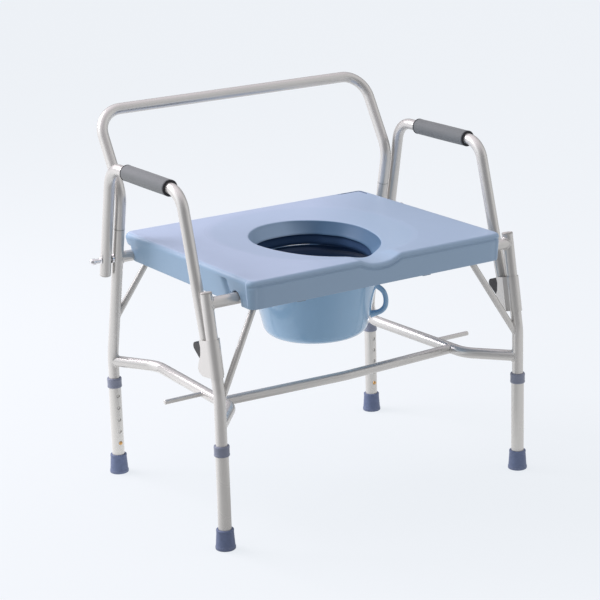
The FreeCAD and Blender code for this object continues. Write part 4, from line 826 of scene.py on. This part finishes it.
def build_pail():
    w = 2.8
    prof = [(0.0, 309.8), (42.0, 309.8), (48.0, 308.0), (54.0, 308.0), (101.0, 308.0), (109.6, 345.0), (132.0, 443.4), (143.0, 443.4), (146.0, 444.6),
            (146.0, 449.0), (144.0, 450.0), (139.6, 450.0), (135.0, 447.4), (130.0, 441.0), (127.4, 434.5), (106.6, 346.0), (98.5, 310.8), (0.0, 310.8)]
    rad = [2.0, 3.0, 4.0, 46.0, 60.0, 2.0, 1.2, 1.4, 1.4, 1.0, 1.2, 3.0, 3.0, 6.0, 50.0, 43.0]
    pts = fillet_profile(prof, rad, 9)
    v, f = lathe(pts, (0, PAIL_Y, 0), (0, 0, 1), 128)
    # side handle: a D loop with flared roots
    ang = math.radians(-30.0)
    hx, hy = math.cos(ang), math.sin(ang)
    loop = [(117.0, 401.0), (124.0, 396.0), (131.5, 390.0), (137.0, 383.5), (140.3, 374.0), (141.0, 364.0), (139.5, 355.0),
            (135.5, 348.5), (129.5, 343.8), (122.0, 341.2), (108.5, 338.6)]
    ctrl = np.array([(r * hx, PAIL_Y + r * hy, z) for r, z in loop])
    # dense Catmull-Rom
    path = []
    for i in range(len(ctrl) - 1):
        p0 = ctrl[max(i - 1, 0)]
        p1, p2 = ctrl[i], ctrl[i + 1]
        p3 = ctrl[min(i + 2, len(ctrl) - 1)]
        for k in range(6):
            t = k / 6
            path.append(0.5 * ((2 * p1) + (-p0 + p2) * t + (2 * p0 - 5 * p1 + 4 * p2 - p3) * t**2 + (-p0 + 3 * p1 - 3 * p2 + p3) * t**3))
    path.append(ctrl[-1])
    path = np.array(path)
    m = len(path)
    side = np.array([-hy, hx, 0.0])
    rings, segs = [], 24
    for i in range(m):
        tan = path[min(i + 1, m - 1)] - path[max(i - 1, 0)]
        tan /= np.linalg.norm(tan)
        up = np.cross(tan, side)
        up /= np.linalg.norm(up)
        f_end = min(i, m - 1 - i) / 9.0
        flare = 1.0 + 0.55 * max(0.0, 1 - f_end) ** 2
        a_w, b_w = 7.0 * flare, 5.2 * flare
        ring = []
        for k in range(segs):
            t = 2 * math.pi * k / segs
            c, s = math.cos(t), math.sin(t)
            ring.append(path[i] + side * a_w * math.copysign(abs(c) ** 0.85, c) + up * b_w * math.copysign(abs(s) ** 0.85, s))
        rings.append(np.array(ring))
    hv, hf = rings_mesh(rings, False)
    hf = hf + [tuple(range(segs - 1, -1, -1)), tuple((m - 1) * segs + k for k in range(segs))]
    # the roots end inside the wall, never in the bowl
    top = max(i for i, q in enumerate(pts) if q[1] > 449.9)
    inner = np.array([(q[1], q[0]) for q in pts[top:]])[::-1]
    for q in hv:
        r = math.hypot(q[0], q[1] - PAIL_Y)
        least = float(np.interp(q[2], inner[:, 0], inner[:, 1])) + 0.9
        if r < least:
            q[0] *= least / r
            q[1] = PAIL_Y + (q[1] - PAIL_Y) * least / r
    pv, pf = join_parts([(v, f), (hv, hf)])
    ob = make("pail_moulded", pv, pf, PAIL)
    fix_normals(ob)
    ob.data.materials.append(PAIL_PAINTED_SHADE)
    for poly in ob.data.polygons:
        c = np.array(poly.center) / MM - np.array([0.0, PAIL_Y, 0.0])
        rad = math.hypot(c[0], c[1])
        inward = -(poly.normal[0] * c[0] + poly.normal[1] * c[1]) / max(rad, 1e-6)
        # painted shade: the pail's inner wall and inside bottom take the dark pail colour
        if poly.index < len(f) and rad < 138.6 and c[2] < 449.6 and (inward > 0.3 or (poly.normal[2] > 0.5 and c[2] < 330.0)):
            poly.material_index = 1
    return ob


pail = build_pail()
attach(pail, "pail")
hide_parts("pail")


# =====================================================================================
# feet, collars, buttons, grips and grip end rings
# =====================================================================================
FRONT_X, FRONT_Y, REAR_X, REAR_Y = 347.0, -239.5, 317.0, 237.0


def leg_xy(s, which):
    return (s * (FRONT_X if which == "front" else REAR_X), FRONT_Y if which == "front" else REAR_Y)


for name, s, which in CORNERS:
    x, y = leg_xy(s, which)
    # foot: cup with a flared, slightly rounded base and a soft top lip
    prof = [(0, 0.9), (11.0, 0.9), (12.2, 0.0), (16.4, 0.0), (19.3, 0.6), (19.3, 5.6), (18.3, 8.4), (16.5, 34.6), (16.9, 36.4),
            (16.7, 39.2), (15.2, 40.0), (12.9, 40.0), (12.8, 6.2), (0, 6.2)]
    rad = [0.6, 0.6, 0.8, 1.6, 1.4, 4.0, 3.0, 0.8, 1.1, 1.0, 0.6, 0.3]
    v, f = lathe(fillet_profile(prof, rad, 4), (x, y, 0), (0, 0, 1), 72)
    ob = make(name + "_foot_cup", v, f, RUBBER)
    fix_normals(ob)
    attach(ob, name + "_extension")
    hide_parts(name + "_foot")
    # collar: cap ring on top of the sleeve, with a fine parting step
    prof = [(12.72, 184.5), (14.3, 184.5), (14.85, 185.5), (14.85, 187.9), (14.5, 188.5), (14.55, 198.4), (14.85, 199.2), (14.85, 202.6),
            (13.9, 204.5), (11.25, 204.5), (11.2, 198.05), (12.72, 198.05)]
    rad = [0.4, 0.6, 0.3, 0.3, 0.3, 0.3, 1.2, 0.6, 0.2, 0.0]
    v, f = lathe(fillet_profile(prof, rad, 4), (x, y, 0), (0, 0, 1), 72)
    ob = make(name + "_collar_ring", v, f, COLLAR)
    fix_normals(ob)
    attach(ob, name + "_extension")
    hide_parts(name + "_collar")
    # snap button: domed brass head standing through the sleeve
    face = 1.0 if which == "front" else -1.0
    prof = [(0, 0.5), (1.6, 0.5), (1.6, 6.3), (3.85, 6.3), (3.85, 12.4), (3.6, 13.6), (2.6, 14.9), (1.3, 15.5), (0, 15.65)]
    rad = [0.2, 0.2, 0.2, 0.8, 1.2, 1.5, 1.5]
    v, f = lathe(fillet_profile(prof, rad, 4), (x, y + face * 0.4, 65.7), (0, face, 0), 40)
    ob = make(name + "_button_dome", v, f, BRASS)
    fix_normals(ob)
    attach(ob, name + "_button")
    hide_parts(name + "_button")

ARM_X, ARM_Z, TUBE_R = 343.5, 660.0, 11.1
for name, s in SIDES:
    # foam grip: soft shoulders, slightly fuller in the middle
    prof = [(11.16, 0.0), (13.2, -0.6), (15.0, 0.4), (15.9, 2.6)]
    for k in range(1, 16):
        t = k / 16.0
        prof.append((15.75 + 0.3 * math.sin(math.pi * t), 2.6 + 158.8 * t))
    prof += [(15.9, 161.4), (15.0, 163.6), (13.2, 164.6), (11.16, 164.0)]
    rad = [1.0, 1.6, 2.0] + [0] * 15 + [2.0, 1.6, 1.0]
    pts = fillet_profile(prof, rad, 4)
    pts = [(p[0], p[1]) for p in pts]
    v, f = lathe(pts, (s * ARM_X, 82.0, ARM_Z), (0, -1, 0), 72)
    ob = make(name + "_grip_sleeve", v, f, GRIP)
    fix_normals(ob)
    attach(ob, name + "_arm")
    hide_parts(name + "_arm_grip")
    # dark end rings set against both ends of the foam: painted shade standing in for the gap between foam and tube
    rings2 = []
    for y_end, way in ((82.0, 1.0), (-82.0, -1.0)):
        prof = [(11.16, -0.6), (14.6, -0.6), (15.9, -0.2), (16.15, 0.9), (15.6, 1.9), (14.2, 2.2), (12.6, 1.5), (11.16, 1.3)]
        vv, ff = lathe(fillet_profile(prof, [0.3, 0.5, 0.5, 0.6, 0.6, 0.4], 3), (s * ARM_X, y_end, ARM_Z), (0, way, 0), 64)
        rings2.append((vv, ff))
    vv, ff = join_parts(rings2)
    ob = make(name + "_grip_end_painted_shade_rings", vv, ff, DARK)
    fix_normals(ob)
    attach(ob, name + "_arm")


# =====================================================================================
# weld fillets where the tubes meet
# =====================================================================================
def weld(p0, way, rb, a0, a_dir, ra, size=2.1, seed=0.0, segs=72):
    """Fillet bead round tube B (point p0, direction way, radius rb) where it lands on tube A."""
    e1, e2, d = basis(way)
    a0 = np.array(a0, float)
    ad = np.array(a_dir, float)
    ad /= np.linalg.norm(ad)
    p0 = np.array(p0, float)
    pts, na, nb = [], [], []
    for k in range(segs):
        th = 2 * math.pi * k / segs
        n_b = e1 * math.cos(th) + e2 * math.sin(th)
        o = p0 + n_b * rb - a0
        op = o - ad * (o @ ad)
        dp = d - ad * (d @ ad)
        A, B, C = dp @ dp, 2 * (op @ dp), op @ op - ra * ra
        disc = B * B - 4 * A * C
        if disc < 0:
            disc = 0.0
        # the root nearest to the tube's own start, on the side it comes from
        t1, t2 = (-B - math.sqrt(disc)) / (2 * A), (-B + math.sqrt(disc)) / (2 * A)
        t = max(t1, t2)
        q = p0 + n_b * rb + d * t
        r = q - a0
        n_a = r - ad * (r @ ad)
        n_a /= np.linalg.norm(n_a)
        pts.append(q); na.append(n_a); nb.append(n_b)
    pts, na, nb = np.array(pts), np.array(na), np.array(nb)
    u = nb - na * (nb * na).sum(1)[:, None]
    u /= np.linalg.norm(u, axis=1)[:, None] + 1e-9
    w = na - nb * (nb * na).sum(1)[:, None]
    w /= np.linalg.norm(w, axis=1)[:, None] + 1e-9
    th = np.linspace(0, 2 * np.pi, segs, endpoint=False)
    ripple = 1.0 + 0.07 * np.sin(th * 17 + seed) + 0.05 * np.sin(th * 5 + seed * 2.3)
    L = (size * ripple)[:, None]
    rings = [pts - 0.5 * (u + w) * 0.9]
    for a in (0, 22, 45, 68, 90):
        c, sn = math.cos(math.radians(a)), math.sin(math.radians(a))
        k = 1.0 - 0.16 * math.sin(math.radians(2 * a))
        off = (u * c + w * sn) * L * k
        sink = -0.12 * (na * c + nb * sn)
        rings.append(pts + off + sink)
    return rings_mesh(rings, True)


def build_welds():
    parts = []
    lean_f = np.array([0, -206.0 + 239.5, 486.0 - 295.0])
    lean_r = np.array([0, 179.0 - 237.0, 528.0 - 252.5])
    seed = 0.0
    for _, s in SIDES:
        # seat tubes on the legs (the tube comes from the middle)
        parts.append(weld((s * 250, -209.2, 468.0), (s, 0, 0), TUBE_R, (s * 347, -239.5, 295.0), lean_f, TUBE_R, 2.2, seed + 1))
        parts.append(weld((s * 250, 192.05, 466.0), (s, 0, 0), TUBE_R, (s * 317, 237.0, 252.5), lean_r, TUBE_R, 2.2, seed + 2))
    return parts


def fillet_toward(p_from, p_axis, rb, a0, a_dir, ra, size, seed):
    """Weld of a tube that runs from p_from to a point on A's axis."""
    way = np.array(p_axis, float) - np.array(p_from, float)
    # start far away, so the first crossing is the near face: look from the far end back
    e1, e2, d = basis(-way)
    return weld(p_axis, -way, rb, a0, a_dir, ra, size, seed)


weld_parts = []
lean_f = (0, -206.0 + 239.5, 486.0 - 295.0)
lean_r = (0, 179.0 - 237.0, 528.0 - 252.5)
for i, (_, s) in enumerate(SIDES):
    k = i * 10.0
    # seat tubes onto the legs
    weld_parts.append(fillet_toward((0, -209.2, 468.0), (s * 347, -209.2, 468.0), 11.1, (s * 347, -239.5, 295.0), lean_f, 11.1, 2.2, k + 1))
    weld_parts.append(fillet_toward((0, 192.05, 466.0), (s * 317, 192.05, 466.0), 11.1, (s * 317, 237.0, 252.5), lean_r, 11.1, 2.2, k + 2))
    # braces: lower ends on the legs, upper ends on the seat tubes
    weld_parts.append(fillet_toward((s * 238.5, -209.2, 468.0), (s * 347, -239.5, 281.0), 6.35, (s * 347, -239.5, 100.0), (0, 0, 1), 11.1, 1.7, k + 3))
    weld_parts.append(fillet_toward((s * 347, -239.5, 281.0), (s * 238.5, -209.2, 468.0), 6.35, (0, -209.2, 468.0), (1, 0, 0), 11.1, 1.7, k + 4))
    weld_parts.append(fillet_toward((s * 238.0, 192.05, 466.0), (s * 317, 221.1, 328.0), 6.35, (s * 317, 237.0, 252.5), lean_r, 11.1, 1.7, k + 5))
    weld_parts.append(fillet_toward((s * 317, 221.1, 328.0), (s * 238.0, 192.05, 466.0), 6.35, (0, 192.05, 466.0), (1, 0, 0), 11.1, 1.7, k + 6))
    # side bars onto the legs
    weld_parts.append(fillet_toward((s * 262.0, 148.0, 240.0), (s * 317, 237.0, 240.0), 11.1, (s * 317, 237.0, 100.0), (0, 0, 1), 11.1, 2.0, k + 7))
    weld_parts.append(fillet_toward((s * 275.0, -156.0, 240.0), (s * 347, -239.5, 240.0), 11.1, (s * 347, -239.5, 100.0), (0, 0, 1), 11.1, 2.0, k + 8))
    # crossbar and stop rod onto the side bar
    bar_way = (s * 13.0, -304.0, 0.0)
    bar_x = 262.0 + 13.0 * (148.0 + 118.0) / 304.0
    stop_x = 262.0 + 13.0 * (148.0 + 55.0) / 304.0
    weld_parts.append(fillet_toward((0, -130.6, 240.0), (s * bar_x, -118.0, 240.0), 9.5, (s * 262.0, 148.0, 240.0), bar_way, 11.1, 1.7, k + 9))
    weld_parts.append(fillet_toward((s * 362.0, -55.0, 240.0), (s * stop_x, -55.0, 240.0), 4.75, (s * 262.0, 148.0, 240.0), bar_way, 11.1, 1.5, k + 9.5))
wv, wf = join_parts(weld_parts)
welds = make("frame_welds", wv, wf, PAINT)
fix_normals(welds)
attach(welds, "frame")


# thin seals in the joint between the rear legs and the backrest
seam_parts = []
lean_up = np.array([0.0, 179.0 - 237.0, 528.0 - 252.5])
lean_up /= np.linalg.norm(lean_up)
for _, s in SIDES:
    prof = [(11.0, -0.45), (11.24, -0.4), (11.3, 0.0), (11.24, 0.4), (11.0, 0.45)]
    seam_parts.append(lathe(prof, (s * 317.0, 179.0, 528.0), tuple(lean_up), 56))
sv, sf = join_parts(seam_parts)
seams = make("backrest_seams", sv, sf, DARK)
fix_normals(seams)
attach(seams, "frame")

# softened edges on the moulded levers, the hinge clips, the rest saddles and the folded sheet
for node, width, seg in (("left_release_lever", 1.4, 3), ("right_release_lever", 1.4, 3), ("left_latch_bracket", 0.45, 2),
                         ("right_latch_bracket", 0.45, 2), ("seat_hinge_clips", 0.8, 2), ("seat_rest_saddles", 0.8, 2)):
    mod = NODES[node].modifiers.new("soft_edges", "BEVEL")
    mod.width = width * MM
    mod.segments = seg
    mod.limit_method = "ANGLE"
    mod.angle_limit = math.radians(28)
    mod.use_clamp_overlap = True


# =====================================================================================
# floor, light, camera
# =====================================================================================
BG = lin(239, 243, 248)


def build_stage():
    me = bpy.data.meshes.new("floor")
    s = 30.0
    me.from_pydata([(-s, -s, 0), (s, -s, 0), (s, s, 0), (-s, s, 0)], [], [(0, 1, 2, 3)])
    me.update()
    floor = bpy.data.objects.new("floor", me)
    bpy.context.scene.collection.objects.link(floor)
    m = Mat("floor_plain")
    m.nt.nodes.remove(m.bsdf)
    diff = m.node("ShaderNodeBsdfDiffuse")
    diff.inputs["Color"].default_value = (FLOOR_DIFFUSE, FLOOR_DIFFUSE, FLOOR_DIFFUSE, 1.0)
    seen = m.node("ShaderNodeEmission")
    seen.inputs["Color"].default_value = FLOOR_SEEN
    bounce = m.node("ShaderNodeEmission")
    geo = m.node("ShaderNodeNewGeometry")
    unit = m.node("ShaderNodeVectorMath", operation="NORMALIZE")
    m.link(geo.outputs["Position"], unit.inputs[0])
    dot = m.node("ShaderNodeVectorMath", operation="DOT_PRODUCT")
    m.link(unit.outputs["Vector"], dot.inputs[0])
    dot.inputs[1].default_value = (-0.54, -0.84, 0.0)
    front = m.maprange(dot.outputs["Value"], 0.62, 0.97, 0.0, 1.0)
    dot2 = m.node("ShaderNodeVectorMath", operation="DOT_PRODUCT")
    m.link(unit.outputs["Vector"], dot2.inputs[0])
    dot2.inputs[1].default_value = (-0.84, 0.54, 0.0)
    left = m.maprange(dot2.outputs["Value"], 0.35, 0.95, 0.0, 1.0)
    tone = m.mix(left, FLOOR_BOUNCE, tuple(v * FLOOR_LEFT for v in FLOOR_BOUNCE[:3]) + (1.0,))
    m.link(m.mix(front, tone, tuple(v * FLOOR_FRONT for v in FLOOR_BOUNCE[:3]) + (1.0,)), bounce.inputs["Color"])
    path = m.node("ShaderNodeLightPath")
    mix_s = m.node("ShaderNodeMixShader")
    m.link(path.outputs["Is Camera Ray"], mix_s.inputs[0])
    m.link(bounce.outputs[0], mix_s.inputs[1])
    m.link(seen.outputs[0], mix_s.inputs[2])
    add_s = m.node("ShaderNodeAddShader")
    m.link(mix_s.outputs[0], add_s.inputs[0])
    m.link(diff.outputs[0], add_s.inputs[1])
    m.link(add_s.outputs[0], m.out.inputs["Surface"])
    me.materials.append(m.mat)
    return floor


FLOOR_DIFFUSE = 0.12
FLOOR_FRONT = 0.5
FLOOR_LEFT = 1.4
FLOOR_SEEN = (0.745, 0.778, 0.815, 1.0)
FLOOR_BOUNCE = (0.68, 0.69, 0.71, 1.0)
floor = build_stage()
# the floor stays under the lowest foot when a leg is let out
drop = floor.driver_add("location", 2).driver
drop.type = "MIN"
for name, _, _ in CORNERS:
    var = drop.variables.new()
    var.name = name
    var.type = "TRANSFORMS"
    var.targets[0].id = bpy.data.objects[name + "_foot_cup"]
    var.targets[0].transform_type = "LOC_Z"
    var.targets[0].transform_space = "WORLD_SPACE"

world = bpy.data.worlds.new("studio")
bpy.context.scene.world = world
world.use_nodes = True
wt = world.node_tree
wt.nodes.clear()
w_out = wt.nodes.new("ShaderNodeOutputWorld")
bg = wt.nodes.new("ShaderNodeBackground")
tc = wt.nodes.new("ShaderNodeTexCoord")


def w_lobe(direction, amp, power, colour):
    """A soft patch of light in the world around a direction."""
    d = Vector(direction).normalized()
    dot = wt.nodes.new("ShaderNodeVectorMath")
    dot.operation = "DOT_PRODUCT"
    wt.links.new(tc.outputs["Generated"], dot.inputs[0])
    dot.inputs[1].default_value = d
    top = wt.nodes.new("ShaderNodeMath")
    top.operation = "MAXIMUM"
    wt.links.new(dot.outputs["Value"], top.inputs[0])
    top.inputs[1].default_value = 0.0
    powr = wt.nodes.new("ShaderNodeMath")
    powr.operation = "POWER"
    wt.links.new(top.outputs[0], powr.inputs[0])
    powr.inputs[1].default_value = power
    sc = wt.nodes.new("ShaderNodeVectorMath")
    sc.operation = "SCALE"
    sc.inputs[0].default_value = tuple(c * amp for c in colour)
    wt.links.new(powr.outputs[0], sc.inputs["Scale"])
    return sc.outputs["Vector"]


def w_add(a, b):
    n = wt.nodes.new("ShaderNodeVectorMath")
    n.operation = "ADD"
    wt.links.new(a, n.inputs[0])
    if isinstance(b, tuple):
        n.inputs[1].default_value = b
    else:
        wt.links.new(b, n.inputs[1])
    return n.outputs["Vector"]


total = w_lobe((-0.80, 0.42, 0.30), 1.38, 4.5, (0.96, 1.0, 1.04))
total = w_add(total, w_lobe((0.80, -0.55, 0.28), 0.85, 5.0, (1.0, 1.0, 1.0)))
total = w_add(total, w_lobe((-0.05, 0.25, 1.0), 0.95, 2.4, (1.06, 0.98, 1.06)))
total = w_add(total, (0.20, 0.205, 0.215))
lp = wt.nodes.new("ShaderNodeLightPath")
mix = wt.nodes.new("ShaderNodeMix")
mix.data_type = "RGBA"
wt.links.new(lp.outputs["Is Camera Ray"], mix.inputs[0])
wt.links.new(total, mix.inputs[6])
mix.inputs[7].default_value = BG
wt.links.new(mix.outputs[2], bg.inputs["Color"])
bg.inputs["Strength"].default_value = 1.0
wt.links.new(bg.outputs[0], w_out.inputs["Surface"])


def area(name, pos, target, size, power, color=(1, 1, 1), size_y=None):
    l = bpy.data.lights.new(name, "AREA")
    l.shape = "RECTANGLE"
    l.size = size
    l.size_y = size_y or size
    l.energy = power
    l.color = color
    o = bpy.data.objects.new(name, l)
    o.location = pos
    o.rotation_mode = "QUATERNION"
    o.rotation_quaternion = (Vector(target) - Vector(pos)).to_track_quat("-Z", "Y")
    bpy.context.scene.collection.objects.link(o)
    o.visible_camera = False
    return o


def sun(name, direction, strength, angle, color=(1, 1, 1)):
    l = bpy.data.lights.new(name, "SUN")
    l.energy = strength
    l.angle = math.radians(angle)
    l.color = color
    o = bpy.data.objects.new(name, l)
    o.rotation_mode = "QUATERNION"
    o.rotation_quaternion = Vector(direction).to_track_quat("-Z", "Y")
    bpy.context.scene.collection.objects.link(o)
    return o


area("key_panel", (-1.35, 1.75, 2.1), (-0.15, 0.05, 0.5), 1.5, 58.0, (1.05, 0.965, 1.04))

# the calibrated view
yaw, pitch, roll = math.radians(-32.49), math.radians(16.15), math.radians(-1.67)
back = Vector((math.sin(yaw) * math.cos(pitch), -math.cos(yaw) * math.cos(pitch), math.sin(pitch)))
right0 = Vector((math.cos(yaw), math.sin(yaw), 0.0))
up0 = back.cross(right0)
right = right0 * math.cos(roll) + up0 * math.sin(roll)
up = up0 * math.cos(roll) - right0 * math.sin(roll)
cam_data = bpy.data.cameras.new("view")
cam = bpy.data.objects.new("view", cam_data)
bpy.context.scene.collection.objects.link(cam)
cam.matrix_world = Matrix(((right.x, up.x, back.x, -2.0949), (right.y, up.y, back.y, -3.2667), (right.z, up.z, back.z, 1.4890), (0, 0, 0, 1)))
cam_data.sensor_width = 36.0
cam_data.lens = 2021.4 * 36.0 / 600.0
cam_data.clip_start, cam_data.clip_end = 0.05, 100.0
bpy.context.scene.camera = cam
bpy.context.scene.view_settings.view_transform = "Standard"
bpy.context.scene.view_settings.look = "None"
bpy.context.scene.view_settings.exposure = 0.0
bpy.context.scene.view_settings.gamma = 1.0
